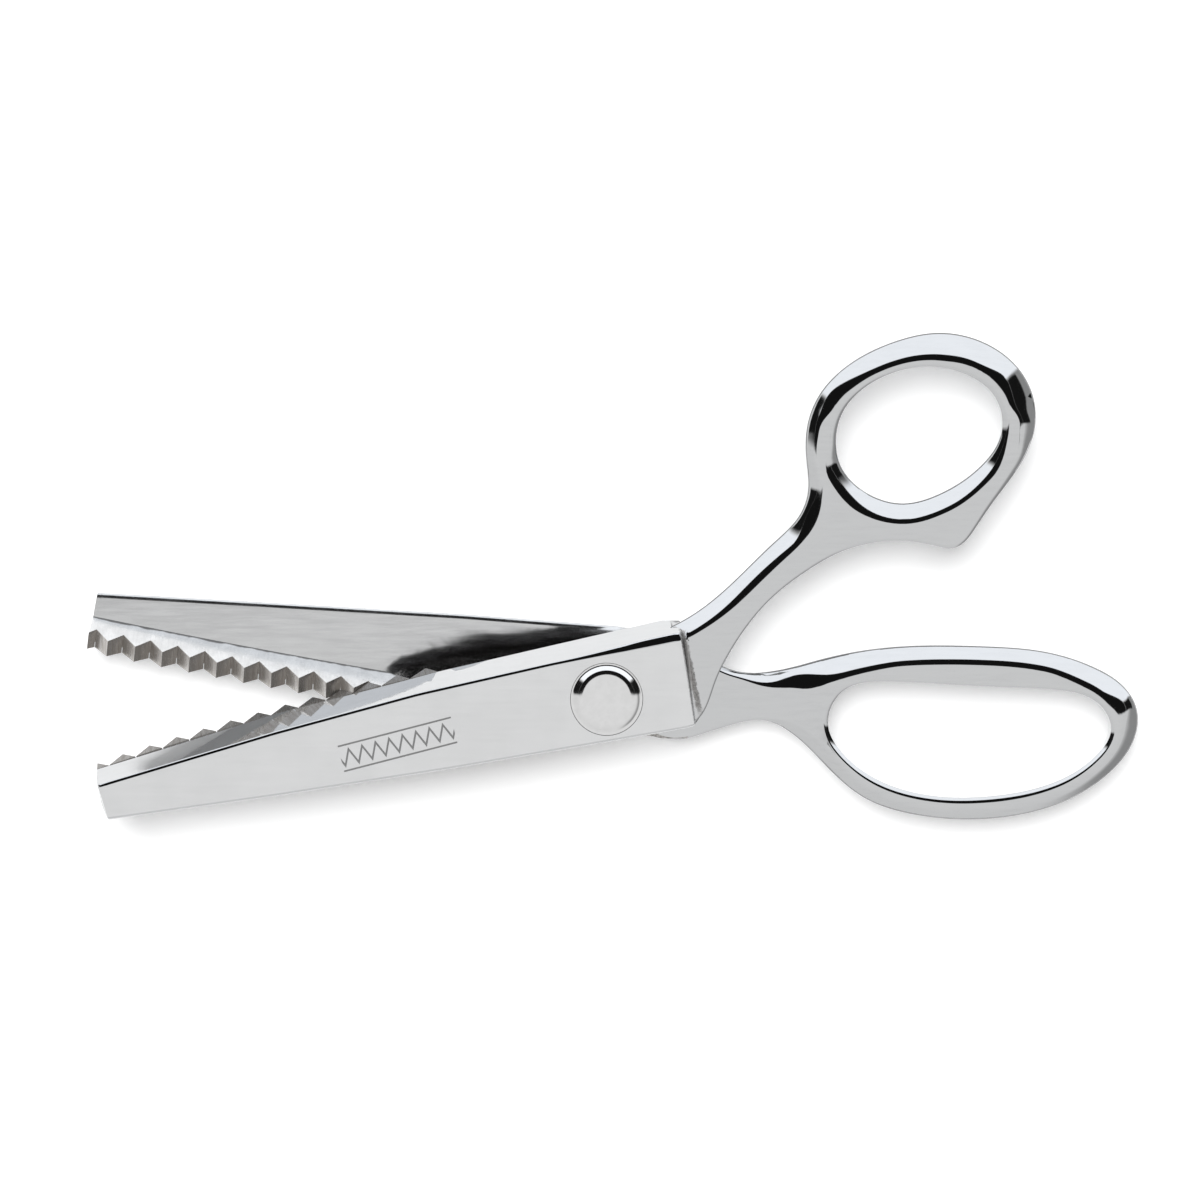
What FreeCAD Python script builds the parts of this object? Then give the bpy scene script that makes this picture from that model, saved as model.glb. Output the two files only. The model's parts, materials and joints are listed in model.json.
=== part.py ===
import FreeCAD, Part

import math
import os

import Sketcher
from FreeCAD import Placement, Rotation, Vector

# Pinking shears, lying open on the back half. Both halves are drawn about the pivot axis, X towards the
# handles, and every sub-part's Placement then moves it to the row frame: origin under the middle of the
# whole outline, on the surface that the shears lie on.
#
# Heights are measured from the shear plane, where the two halves meet: the front half lies above it and the
# back half below it. "Outward" is away from that plane on either half.

DRIVING = [
    ("shear_plane", 6.0, "height of the plane where the halves meet"),
    ("half_gap", 0.06, "running clearance from the shear plane to each half"),
    ("blade_depth", 6.0, "shear plane to the outer flat of a blade"),
    ("tip_depth", 5.4, "the same at the blade's tip, where it is thinner"),
    ("web_depth", 3.9, "shear plane to the hollow inner face of a blade"),
    ("tooth_pitch", 5.0, "radial distance between teeth"),
    ("tooth_height", 2.1, "tooth tip to tooth valley"),
    ("last_tip", 90.75, "radius of the back strip's outermost tooth tip"),
    ("teeth_from", 31.0, "radius where the toothed strips begin"),
    ("front_reach", 93.0, "radius of the front blade's rounded end"),
    ("back_reach", 94.5, "radius of the back blade's rounded end"),
    ("boss_reach", 30.5, "radius of the full-thickness boss round the pivot"),
    ("shank_clear", 27.6, "radius inside which a shank stays on its own side"),
    ("front_handle_out", 5.0, "shear plane to the outer face of the thumb handle"),
    ("back_handle_out", 6.0, "shear plane to the outer face of the finger handle"),
    ("handle_thick", 7.8, "thickness of both handles"),
    ("front_round", 2.0, "rounding of the thumb handle's edges"),
    ("back_round", 1.7, "rounding of the finger handle's edges"),
    ("shank_step", 1.0, "step down from the outer flat to the shank"),
    ("seat_inner", 2.2, "ledge line to the foot of the seat that holds the strip"),
    ("seat_outer", 4.5, "ledge line to the lip of the seat"),
    ("ledge_run", 3.82, "ledge line to the tooth tips, across the strip"),
    ("strip_run", 6.55, "ledge line to the cutting edge at a tip"),
    ("relief_run", 1.15, "how far the relief face falls back below a tip"),
    ("head_radius", 6.6, "pivot bolt head"),
    ("head_under", 3.2, "shear plane to the underside of the bolt head"),
    ("head_proud", 0.45, "dome of the bolt head above the outer flat"),
    ("head_gap", 0.12, "gap round the bolt head"),
    ("head_bevel", 0.6, "bolt head's side to the rim of its dome"),
    ("dome_rim", 0.22, "rim of the dome above the outer flat"),
    ("head_corner", 0.3, "outer flat down to the corner of the head"),
    ("bolt_radius", 3.0, "plain shank of the bolt"),
    ("thread_radius", 2.5, "threaded end of the bolt"),
    ("race_inner", 4.2, "bore radius of both races"),
    ("race_outer", 7.2, "outer radius of both races"),
    ("race_thick", 0.5, "thickness of both races"),
    ("ball_radius", 0.9, "bearing ball"),
    ("ball_circle", 5.7, "radius of the ball circle"),
    ("ball_play", 0.05, "clearance of a ball to each race"),
    ("bush_wall", 0.84, "wall of the pivot bush"),
    ("fit_play", 0.06, "radial clearance of the bolt in the bush"),
    ("nut_radius", 5.5, "round pivot nut"),
    ("nut_pocket", 6.0, "radius of the pocket for the nut"),
    ("nut_pocket_deep", 2.95, "depth of the pocket for the nut"),
    ("nut_inset", 0.4, "outer flat to the nut's face"),
    ("nut_thick", 1.9, "thickness of the pivot nut"),
    ("nut_chamfer", 0.3, "chamfer of the nut's face"),
    ("nut_slot_from", 3.7, "pivot axis to the inner end of a key slot in the nut"),
    ("nut_slot_half", 0.65, "half the width of a key slot"),
    ("nut_slot_deep", 0.9, "depth of a key slot"),
    ("pocket_play", 0.05, "clearance at the bottom of the nut pocket"),
    ("spring_thick", 0.38, "thickness of the spring washer"),
    ("spring_play", 0.1, "radial clearance of the spring washer"),
    ("key_radius", 0.6, "key pin under the bolt head"),
    ("key_offset", 4.8, "pivot axis to the key pin"),
    ("key_sunk", 1.2, "depth of the key pin in the front half"),
    ("key_above", 1.0, "depth of the key hole in the bolt head, less its clearance"),
    ("lock_radius", 0.7, "lock screw of the nut"),
    ("lock_long", 1.5, "length of the lock screw"),
    ("lock_slot_half", 0.12, "half the width of the lock screw's slot"),
    ("lock_slot_deep", 0.4, "depth of the lock screw's slot"),
    ("cage_play", 0.2, "cage to the bore of the races"),
    ("cage_half", 0.3, "half the thickness of the ball cage"),
    ("bush_short", 0.1, "shear plane to the top of the pivot bush"),
    ("pivot_x", -1.14, "pivot axis in the row frame, X"),
    ("pivot_y", -22.12, "pivot axis in the row frame, Y"),
]

BALL_COUNT = 12
ARC_OUT = 0.55
TRIM_RADIUS = "120"
THROUGH = "30"
BELOW = "-5"

# Blade stations from the tip to the boss: x, then y of the spine, of the outer flat's edge at the bevel, and
# of the bevel's lower edge, then the share of the tip's thinning.
FRONT_STATIONS = [
    (-94.0, -22.3, -16.6, -13.35, 1.0),
    (-60.0, -17.5, -6.4, -2.75, 0.25),
    (-25.0, -12.15, 2.75, 6.15, 0.0),
]
BACK_STATIONS = [
    (-95.5, 19.35, 13.3, 9.85, 1.0),
    (-60.0, 17.3, 6.4, 2.9, 0.25),
    (-25.0, 15.35, 0.3, -3.15, 0.0),
]

# Boss outlines: the ends are moved onto the boss's turned wall.
FRONT_BOSS = [
    (-27.8, -12.5), (10.0, -6.0), (14.6, -5.2), (16.3, -2.0), (16.1, 0.6), (14.0, 9.2), (13.1, 14.05),
    (10.0, 14.2), (-10.0, 9.6), (-30.0, 5.0),
]
BACK_BOSS = [
    (-26.4, 15.3), (2.0, 13.1), (9.0, 12.0), (14.2, 9.5), (15.6, 2.0), (15.6, -4.0), (14.6, -7.2),
    (10.0, -7.2), (0.0, -6.6), (-15.0, -4.9), (-30.4, -2.3),
]
FRONT_BEVEL = [(-34.0, 0.65, 4.2), (-10.0, 6.1, 9.6), (17.0, 11.6, 15.8)]
BACK_BEVEL = [(-34.0, 1.9, -1.6), (-10.0, -2.1, -5.6), (17.0, -4.1, -7.6)]

# Handle outlines, from one side of the boss round the ring to the other side.
FRONT_HANDLE = [
    (8.0, -5.9), (14.0, -5.3), (17.2, -2.8), (19.6, 3.0), (22.0, 8.0), (26.0, 14.0), (30.0, 18.4),
    (36.0, 23.0), (42.0, 26.4), (48.0, 28.1), (55.2, 28.3), (60.3, 27.3), (62.4, 27.1), (64.3, 28.1),
    (66.4, 30.7), (70.0, 35.9), (74.7, 42.3), (77.3, 48.5), (77.1, 54.7), (73.8, 60.5), (68.1, 64.5),
    (59.8, 66.2), (52.2, 64.7), (44.0, 60.7), (38.1, 54.7), (36.0, 49.0), (35.9, 43.0), (36.2, 37.6),
    (34.6, 33.1), (30.0, 28.2), (22.0, 20.4), (13.2, 13.9), (8.0, 11.0),
]
BACK_HANDLE = [
    (8.0, -6.9), (13.2, -7.5), (18.0, -6.2), (22.6, -4.8), (28.3, -3.95), (34.1, -6.8), (39.8, -12.4),
    (46.7, -18.1), (55.3, -21.0), (64.5, -21.95), (74.8, -21.1), (84.2, -18.1), (91.4, -13.2),
    (95.7, -7.2), (96.2, -2.2), (94.0, 2.0), (88.5, 5.7), (79.9, 8.5), (67.9, 9.6), (54.1, 9.6),
    (42.7, 8.1), (31.2, 5.2), (23.7, 5.0), (18.0, 7.4), (8.0, 11.4),
]
THUMB_HOLE = [
    (41.4, 46.1), (42.8, 52.0), (45.9, 55.6), (50.0, 58.1), (57.7, 59.8), (64.0, 58.7), (69.9, 54.4),
    (71.1, 48.2), (67.4, 42.1), (60.0, 37.1), (53.4, 35.4), (47.3, 37.1), (42.5, 41.75),
]
FINGER_HOLE = [
    (40.1, -4.0), (42.7, 1.3), (50.7, 3.1), (59.9, 2.7), (71.3, 2.1), (82.0, 1.5), (88.6, -0.7),
    (91.1, -5.5), (88.6, -10.1), (80.0, -15.4), (69.0, -17.6), (59.9, -17.6), (51.3, -15.6),
    (44.4, -11.5),
]
BACK_SHANK = [(15.0, -12.0), (16.4, 0.0), (14.4, 13.0), (34.0, 13.0), (34.0, -12.0)]


doc = FreeCAD.newDocument("pinking_shears")
sheet = doc.addObject("Spreadsheet::Sheet", "dims")
for row, (alias, size, meaning) in enumerate(DRIVING, start=1):
    sheet.set("A%d" % row, meaning)
    sheet.set("B%d" % row, str(size))
    sheet.setAlias("B%d" % row, alias)
doc.recompute()

nodes = []


def dim(alias):
    return float(sheet.get(alias))


def finish_node(obj, label):
    """Names a sub-part and moves it from the pivot axis to the row frame."""
    obj.Label = label
    obj.setExpression("Placement.Base.x", "dims.pivot_x")
    obj.setExpression("Placement.Base.y", "dims.pivot_y")
    nodes.append(obj)


def new_body(label):
    body = doc.addObject("PartDesign::Body", label)
    body.AllowCompound = True
    finish_node(body, label)
    return body


def new_sketch(body, name, role, offset="0"):
    """A sketch on one of the body's own origin planes, moved along the plane's normal by an expression."""
    plane = next(f for f in body.Origin.OriginFeatures if f.Role == role)
    sketch = body.newObject("Sketcher::SketchObject", name)
    sketch.AttachmentSupport = [(plane, "")]
    sketch.MapMode = "FlatFace"
    sketch.setExpression("AttachmentOffset.Base.z", offset)
    return sketch


def height(side, outward):
    """Height of a point a distance outward from the shear plane; side is 1 in front and -1 behind."""
    return dim("shear_plane") + side * outward


def height_of(side, outward):
    """The same as an expression on the sheet."""
    return "dims.shear_plane + (%d) * (%s)" % (side, outward)


def draw_lines(sketch, points, closed=True):
    ends = points[1:] + points[:1] if closed else points[1:]
    for start, end in zip(points, ends):
        sketch.addGeometry(Part.LineSegment(Vector(*start, 0), Vector(*end, 0)))


def draw_circle(sketch, radius, centre=(0.0, 0.0)):
    """A circle whose radius follows an expression on the sheet."""
    index = sketch.addGeometry(Part.Circle(Vector(*centre, 0), Vector(0, 0, 1), 1.0))
    number = sketch.addConstraint(Sketcher.Constraint("Radius", index, 1.0))
    sketch.setExpression("Constraints[%d]" % number, radius)


def draw_curve(sketch, points, closed):
    """A smooth curve through the points; an open one is closed by a straight line."""
    curve = Part.BSplineCurve()
    curve.interpolate(Points=[Vector(*p, 0) for p in points], PeriodicFlag=closed)
    sketch.addGeometry(curve)
    if not closed:
        draw_lines(sketch, [points[-1], points[0]], closed=False)


def add_feature(body, kind, sketch):
    feature = body.newObject("PartDesign::" + kind, sketch.Name + "_" + kind.lower())
    feature.Profile = sketch
    return feature


def add_pad(body, sketch, length):
    pad = add_feature(body, "Pad", sketch)
    pad.setExpression("Length", length)
    doc.recompute()


def add_pocket(body, sketch, length, upward):
    """Cuts from the sketch plane, up or down; a cut that removes nothing is an error."""
    before = body.Shape.Volume
    pocket = add_feature(body, "Pocket", sketch)
    pocket.Reversed = upward
    pocket.setExpression("Length", length)
    doc.recompute()
    if body.Shape.Volume >= before:
        raise RuntimeError("%s cuts nothing" % sketch.Name)


def add_turned(body, sketch, kind):
    """A revolution or a groove about the pivot axis, which is the sketch's vertical axis."""
    feature = add_feature(body, kind, sketch)
    feature.ReferenceAxis = (sketch, ["V_Axis"])
    feature.Angle = 360.0
    doc.recompute()


def add_loft(body, kind, sketches):
    loft = add_feature(body, kind, sketches[0])
    loft.Sections = sketches[1:]
    doc.recompute()


def bore(body, name, radius, start, upward, centre=(0.0, 0.0), length=THROUGH):
    sketch = new_sketch(body, name, "XY_Plane", start)
    draw_circle(sketch, radius, centre)
    add_pocket(body, sketch, length, upward)


def cross_sections(body, name, stations, outline):
    """One sketch across the blade at each station; outline gives its (y, height) corners."""
    sketches = []
    for number, station in enumerate(stations):
        sketch = new_sketch(body, "%s_%d" % (name, number), "YZ_Plane", str(station[0]))
        draw_lines(sketch, outline(station))
        sketches.append(sketch)
    return sketches


def trim_beyond(body, name, reach):
    """Rounds off a blade's end about the pivot axis."""
    sketch = new_sketch(body, name, "XY_Plane", BELOW)
    draw_circle(sketch, "dims.%s" % reach)
    draw_circle(sketch, TRIM_RADIUS)
    add_pocket(body, sketch, THROUGH, upward=True)


def strip_y(half, edge_y, run):
    """y of a point of the toothed strip that lies a run from its ledge line, towards the cutting edge."""
    valley_run = dim("strip_run") - dim("relief_run")
    return edge_y + half["towards_edge"] * half["slant"] * (run - valley_run)


def make_strip(label, half):
    """A toothed cutter strip: a bar with its ledge slope, flutes and relief face."""
    side = half["side"]
    rise = dim("tooth_height") / 2.0
    corners = [
        (0.0, dim("web_depth")),
        (dim("ledge_run"), -rise),
        (dim("strip_run"), -rise),
        (dim("strip_run") - dim("relief_run"), rise),
        (dim("seat_outer"), rise),
        (dim("seat_inner"), dim("web_depth")),
    ]

    def outline(station):
        return [(strip_y(half, station[3], run), height(side, depth)) for run, depth in corners]

    body = new_body(label)
    add_loft(body, "AdditiveLoft", cross_sections(body, label + "_bar", half["stations"], outline))

    # The flutes are turned about the pivot, so that the two strips stay in mesh at every opening.
    ridge = []
    radius = dim("last_tip") + dim("tooth_pitch")
    while radius > dim("teeth_from") - dim("tooth_pitch"):
        ridge.append((radius, height(1, rise + side * dim("half_gap"))))
        ridge.append((radius - dim("tooth_pitch") / 2.0, height(1, -rise + side * dim("half_gap"))))
        radius -= dim("tooth_pitch")
    away = height(side, -dim("blade_depth"))
    flutes = new_sketch(body, label + "_flutes", "XZ_Plane")
    draw_lines(flutes, ridge + [(ridge[-1][0], away), (ridge[0][0], away)])
    add_turned(body, flutes, "Groove")

    trim_beyond(body, label + "_end", half["reach"])
    bore(body, label + "_root", "dims.teeth_from", BELOW, upward=True)


def make_half(label, half):
    """One forging: blade, boss round the pivot, shank and ring in one piece."""
    side = half["side"]
    rise = dim("tooth_height") / 2.0
    thinning = dim("blade_depth") - dim("tip_depth")

    def blade_outline(station):
        spine, flat_edge, edge, share = station[1:]
        outer = height(side, dim("blade_depth") - share * thinning)
        web = height(side, dim("web_depth"))
        return [
            (spine, web),
            (spine, outer),
            (flat_edge, outer),
            (edge, height(side, rise)),
            (strip_y(half, edge, dim("seat_outer")), height(side, rise)),
            (strip_y(half, edge, dim("seat_inner")), web),
        ]

    def bevel_outline(station):
        flat_edge, edge = station[1:]
        beyond = edge + half["towards_edge"] * dim("blade_depth")
        outer = height(side, dim("blade_depth"))
        over = height(side, dim("blade_depth") + rise)
        return [(flat_edge, over), (flat_edge, outer), (edge, height(side, rise)),
                (beyond, height(side, rise)), (beyond, over)]

    body = new_body(label)
    add_loft(body, "AdditiveLoft", cross_sections(body, label + "_blade", half["stations"], blade_outline))
    trim_beyond(body, label + "_end", half["reach"])

    # The handle, rounded while it is still apart from the boss.
    lowest = half["handle_out"] if side < 0 else half["handle_out"] + " - dims.handle_thick"
    bottom = height_of(side, lowest)
    handle = new_sketch(body, label + "_handle", "XY_Plane", bottom)
    draw_curve(handle, half["handle"], closed=False)
    add_pad(body, handle, "dims.handle_thick")
    opening = new_sketch(body, label + "_opening", "XY_Plane", bottom)
    draw_curve(opening, half["hole"], closed=True)
    add_pocket(body, opening, "dims.handle_thick", upward=True)
    base = body.Tip
    rims = []
    for number, edge in enumerate(base.Shape.Edges, start=1):
        box = edge.BoundBox
        if box.ZLength < 0.001 and box.XLength > dim("shank_clear"):
            if box.XMin > 0.0:
                rims.append("Edge%d" % number)
    rounding = body.newObject("PartDesign::Fillet", label + "_rounding")
    rounding.Base = (base, rims)
    rounding.setExpression("Radius", half["rounding"])
    doc.recompute()

    bore(body, label + "_clear", "dims.shank_clear", height_of(side, "dims.half_gap"), upward=side < 0)

    # The boss, which ends in a turned wall inside the reach of the other half's teeth.
    outline = list(half["boss"])
    for end in (0, -1):
        stretch = dim("boss_reach") / math.hypot(*outline[end])
        outline[end] = (outline[end][0] * stretch, outline[end][1] * stretch)
    face = "dims.half_gap" if side > 0 else "dims.blade_depth"
    boss = new_sketch(body, label + "_boss", "XY_Plane", height_of(side, face))
    draw_lines(boss, outline, closed=False)
    boss.addGeometry(Part.Arc(Vector(*outline[-1], 0), Vector(-dim("boss_reach"), 0, 0), Vector(*outline[0], 0)))
    add_pad(body, boss, "dims.blade_depth - dims.half_gap")
    add_loft(body, "SubtractiveLoft", cross_sections(body, label + "_bevel", half["bevel"], bevel_outline))

    race_floor = "dims.ball_radius + dims.ball_play + dims.race_thick"
    bore(body, label + "_race_pocket", "dims.race_outer + dims.fit_play", height_of(side, race_floor),
         upward=side < 0)
    return body


def washer(label, inner, outer, bottom, thickness):
    """A flat ring about the pivot axis."""
    ring = doc.addObject("Part::Cut", label)
    solids = []
    for part, radius in (("blank", outer), ("bore", inner)):
        solid = doc.addObject("Part::Cylinder", "%s_%s" % (label, part))
        solid.setExpression("Radius", radius)
        solid.setExpression("Height", thickness)
        solid.setExpression("Placement.Base.z", bottom)
        solids.append(solid)
    ring.Base, ring.Tool = solids
    return ring


def key_centre():
    return (0.0, dim("key_offset"))


def lock_centre():
    return (dim("thread_radius"), 0.0)


def make_bolt():
    """The pivot bolt: a wide domed head let into the front half, a plain shank and a threaded end."""
    body = new_body("pivot_bolt")
    outer = height(1, dim("blade_depth"))
    crown = outer + dim("head_proud")
    rim = (dim("head_radius") - dim("head_bevel"), outer + dim("dome_rim"))
    corner = (dim("head_radius"), outer - dim("head_corner"))
    middle = (rim[0] * ARC_OUT, rim[1] + (crown - rim[1]) * (1.0 - ARC_OUT ** 2))
    under = height(1, dim("head_under"))
    shoulder = dim("nut_pocket_deep") - dim("pocket_play")
    end = dim("nut_inset")
    profile = new_sketch(body, "bolt_profile", "XZ_Plane")
    profile.addGeometry(Part.Arc(Vector(0, crown, 0), Vector(*middle, 0), Vector(*rim, 0)))
    draw_lines(profile, [
        rim, corner, (dim("head_radius"), under), (dim("bolt_radius"), under),
        (dim("bolt_radius"), shoulder), (dim("thread_radius"), shoulder), (dim("thread_radius"), end),
        (0.0, end), (0.0, crown),
    ], closed=False)
    add_turned(body, profile, "Revolution")
    bore(body, "bolt_key", "dims.key_radius", height_of(1, "dims.head_under - dims.key_above"), True,
         key_centre(), "dims.key_above + dims.key_sunk")
    bore(body, "bolt_lock", "dims.lock_radius", "0", True, lock_centre(), "dims.nut_inset + dims.lock_long")


def make_nut():
    """The round nut, turned with a two-pin key in its face slots and kept by a lock screw."""
    body = new_body("pivot_nut")
    blank = new_sketch(body, "nut_blank", "XY_Plane", "dims.nut_inset")
    draw_circle(blank, "dims.nut_radius")
    draw_circle(blank, "dims.thread_radius")
    add_pad(body, blank, "dims.nut_thick")
    slots = new_sketch(body, "nut_slots", "XY_Plane", "dims.nut_inset")
    across = dim("nut_slot_half")
    for way in (-1, 1):
        near = way * dim("nut_slot_from")
        far = way * dim("nut_pocket")
        draw_lines(slots, [(-across, near), (across, near), (across, far), (-across, far)])
    add_pocket(body, slots, "dims.nut_slot_deep", upward=True)
    bore(body, "nut_lock", "dims.lock_radius", "0", True, lock_centre(), "dims.nut_inset + dims.lock_long")
    base = body.Tip
    rims = []
    for number, edge in enumerate(base.Shape.Edges, start=1):
        box = edge.BoundBox
        if box.ZLength < 0.001 and abs(box.ZMin - dim("nut_inset")) < 0.001:
            if math.hypot(box.XMax, box.YMax) > dim("nut_radius") - 0.1 and box.XLength > dim("nut_thick"):
                rims.append("Edge%d" % number)
    chamfer = body.newObject("PartDesign::Chamfer", "nut_chamfer")
    chamfer.Base = (base, rims)
    chamfer.setExpression("Size", "dims.nut_chamfer")
    doc.recompute()


def make_lock_screw():
    """The small headless screw that stops the nut from turning on the bolt."""
    body = new_body("nut_lock_screw")
    blank = new_sketch(body, "lock_blank", "XY_Plane", "dims.nut_inset")
    draw_circle(blank, "dims.lock_radius", lock_centre())
    add_pad(body, blank, "dims.lock_long")
    slot = new_sketch(body, "lock_slot", "XY_Plane", "dims.nut_inset")
    left = lock_centre()[0] - dim("lock_slot_half")
    right = lock_centre()[0] + dim("lock_slot_half")
    far = 2.0 * dim("lock_radius")
    draw_lines(slot, [(left, -far), (right, -far), (right, far), (left, far)])
    add_pocket(body, slot, "dims.lock_slot_deep", upward=True)


def make_spring_washer():
    """The dished washer that keeps the blades pressed together."""
    body = new_body("spring_washer")
    top = dim("nut_pocket_deep") - dim("pocket_play")
    bottom = dim("nut_inset") + dim("nut_thick")
    inner = dim("thread_radius") + dim("spring_play")
    outer = dim("nut_radius") - dim("spring_play")
    thick = dim("spring_thick")
    profile = new_sketch(body, "spring_profile", "XZ_Plane")
    draw_lines(profile, [(inner, top - thick), (inner, top), (outer, bottom + thick), (outer, bottom)])
    add_turned(body, profile, "Revolution")


def make_key_pin():
    """The pin that stops the bolt from turning in the front half."""
    pin = doc.addObject("Part::Cylinder", "bolt_key_pin")
    pin.setExpression("Radius", "dims.key_radius")
    pin.setExpression("Height", "dims.key_sunk + dims.key_above")
    pin.setExpression("Placement.Base.z", height_of(1, "dims.head_under - dims.key_sunk"))
    finish_node(pin, "bolt_key_pin")
    pin.setExpression("Placement.Base.y", "dims.pivot_y + dims.key_offset")


def ball_places():
    return [2.0 * math.pi * number / BALL_COUNT for number in range(BALL_COUNT)]


def make_balls():
    group = doc.addObject("Part::Compound", "bearing_balls")
    balls = []
    for number, angle in enumerate(ball_places()):
        ball = doc.addObject("Part::Sphere", "ball_%d" % number)
        ball.setExpression("Radius", "dims.ball_radius")
        place = Vector(math.cos(angle), math.sin(angle), 0) * dim("ball_circle")
        ball.Placement = Placement(place + Vector(0, 0, dim("shear_plane")), Rotation())
        balls.append(ball)
    group.Links = balls
    finish_node(group, "bearing_balls")


def make_cage():
    """The flat ring that spaces the balls."""
    ring = washer("cage_blank", "dims.race_inner + dims.cage_play", "dims.race_outer - dims.cage_play",
                  "dims.shear_plane - dims.cage_half", "2 * dims.cage_half")
    holes = doc.addObject("Part::Compound", "cage_holes")
    drills = []
    for number, angle in enumerate(ball_places()):
        drill = doc.addObject("Part::Cylinder", "cage_hole_%d" % number)
        drill.setExpression("Radius", "dims.ball_radius + dims.ball_play")
        drill.setExpression("Height", "4 * dims.ball_radius")
        place = Vector(math.cos(angle), math.sin(angle), 0) * dim("ball_circle")
        floor = dim("shear_plane") - 2.0 * dim("ball_radius")
        drill.Placement = Placement(place + Vector(0, 0, floor), Rotation())
        drills.append(drill)
    holes.Links = drills
    cage = doc.addObject("Part::Cut", "ball_cage")
    cage.Base = ring
    cage.Tool = holes
    finish_node(cage, "ball_cage")


FRONT = {
    "side": 1, "towards_edge": 1, "slant": 1.04, "reach": "front_reach", "rounding": "dims.front_round",
    "handle_out": "dims.front_handle_out", "stations": FRONT_STATIONS, "boss": FRONT_BOSS,
    "bevel": FRONT_BEVEL, "handle": FRONT_HANDLE, "hole": THUMB_HOLE,
}
BACK = {
    "side": -1, "towards_edge": -1, "slant": 1.02, "reach": "back_reach", "rounding": "dims.back_round",
    "handle_out": "dims.back_handle_out", "stations": BACK_STATIONS, "boss": BACK_BOSS,
    "bevel": BACK_BEVEL, "handle": BACK_HANDLE, "hole": FINGER_HOLE,
}

front_half = make_half("front_half", FRONT)
bore(front_half, "head_pocket", "dims.head_radius + dims.head_gap", height_of(1, "dims.head_under"), True)
bore(front_half, "bolt_hole", "dims.bolt_radius", "0", True)
bore(front_half, "key_hole", "dims.key_radius", height_of(1, "dims.head_under - dims.key_sunk"), True,
     key_centre(), "dims.head_under")

back_half = make_half("back_half", BACK)
bore(back_half, "bush_hole", "dims.bolt_radius + dims.fit_play + dims.bush_wall", "0", True)
bore(back_half, "nut_recess", "dims.nut_pocket", "dims.nut_pocket_deep", False)
shank = new_sketch(back_half, "shank_flat", "XY_Plane", "dims.shank_step")
draw_lines(shank, BACK_SHANK)
add_pocket(back_half, shank, "dims.blade_depth", upward=False)

make_strip("front_toothed_strip", FRONT)
make_strip("back_toothed_strip", BACK)

make_bolt()
make_key_pin()
make_nut()
make_lock_screw()
make_spring_washer()

bush = washer("pivot_bush", "dims.bolt_radius + dims.fit_play",
              "dims.bolt_radius + dims.fit_play + dims.bush_wall", "dims.nut_pocket_deep",
              "dims.shear_plane - dims.bush_short - dims.nut_pocket_deep")
finish_node(bush, "pivot_bush")
upper = washer("upper_race", "dims.race_inner", "dims.race_outer",
               height_of(1, "dims.ball_radius + dims.ball_play"), "dims.race_thick")
finish_node(upper, "upper_race")
lower = washer("lower_race", "dims.race_inner", "dims.race_outer",
               height_of(-1, "dims.ball_radius + dims.ball_play + dims.race_thick"), "dims.race_thick")
finish_node(lower, "lower_race")
make_balls()
make_cage()

doc.recompute()
for obj in doc.Objects:
    if "Invalid" in obj.State or "Error" in obj.State:
        raise RuntimeError("%s failed: %s" % (obj.Label, obj.State))
for node in nodes:
    if node.Shape.isNull() or not node.Shape.isValid():
        raise RuntimeError("%s has no valid shape" % node.Label)

os.makedirs("parts", exist_ok=True)
whole = FreeCAD.BoundBox()
for node in nodes:
    node.Shape.exportStep("parts/%s.step" % node.Label)
    whole.add(node.Shape.BoundBox)
    print("%-20s %d solids %9.1f mm3" % (node.Label, len(node.Shape.Solids), node.Shape.Volume))
print("x %.3f to %.3f, y %.3f to %.3f, z %.3f to %.3f" % (
    whole.XMin, whole.XMax, whole.YMin, whole.YMax, whole.ZMin, whole.ZMax))
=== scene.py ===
import json
import math

import bmesh
import bpy
import numpy as np
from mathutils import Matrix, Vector, geometry


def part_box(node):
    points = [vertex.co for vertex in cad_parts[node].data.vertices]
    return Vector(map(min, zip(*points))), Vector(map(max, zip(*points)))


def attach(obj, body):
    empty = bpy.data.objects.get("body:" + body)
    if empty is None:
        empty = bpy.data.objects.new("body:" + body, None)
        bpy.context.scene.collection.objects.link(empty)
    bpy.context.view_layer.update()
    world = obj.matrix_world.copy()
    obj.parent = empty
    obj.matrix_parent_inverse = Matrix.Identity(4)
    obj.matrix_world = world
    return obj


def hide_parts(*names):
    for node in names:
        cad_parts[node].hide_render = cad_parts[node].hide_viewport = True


# Pinking shears, lying open on a white table. Shapes are drawn in millimetres about the pivot axis,
# X towards the handles and z up from the table, and moved to the row frame when each mesh is made.

MM = 0.001
# Height of the shear plane, where the halves meet, and half the gap that the handles leave there.
SHEAR = 6.0
HALF_GAP = 0.06
# Distances from the pivot axis within which the handles and the boss stay close to the shear plane.
SHANK_CLEAR = 27.6
BOSS_CLEAR = 27.5

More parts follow.
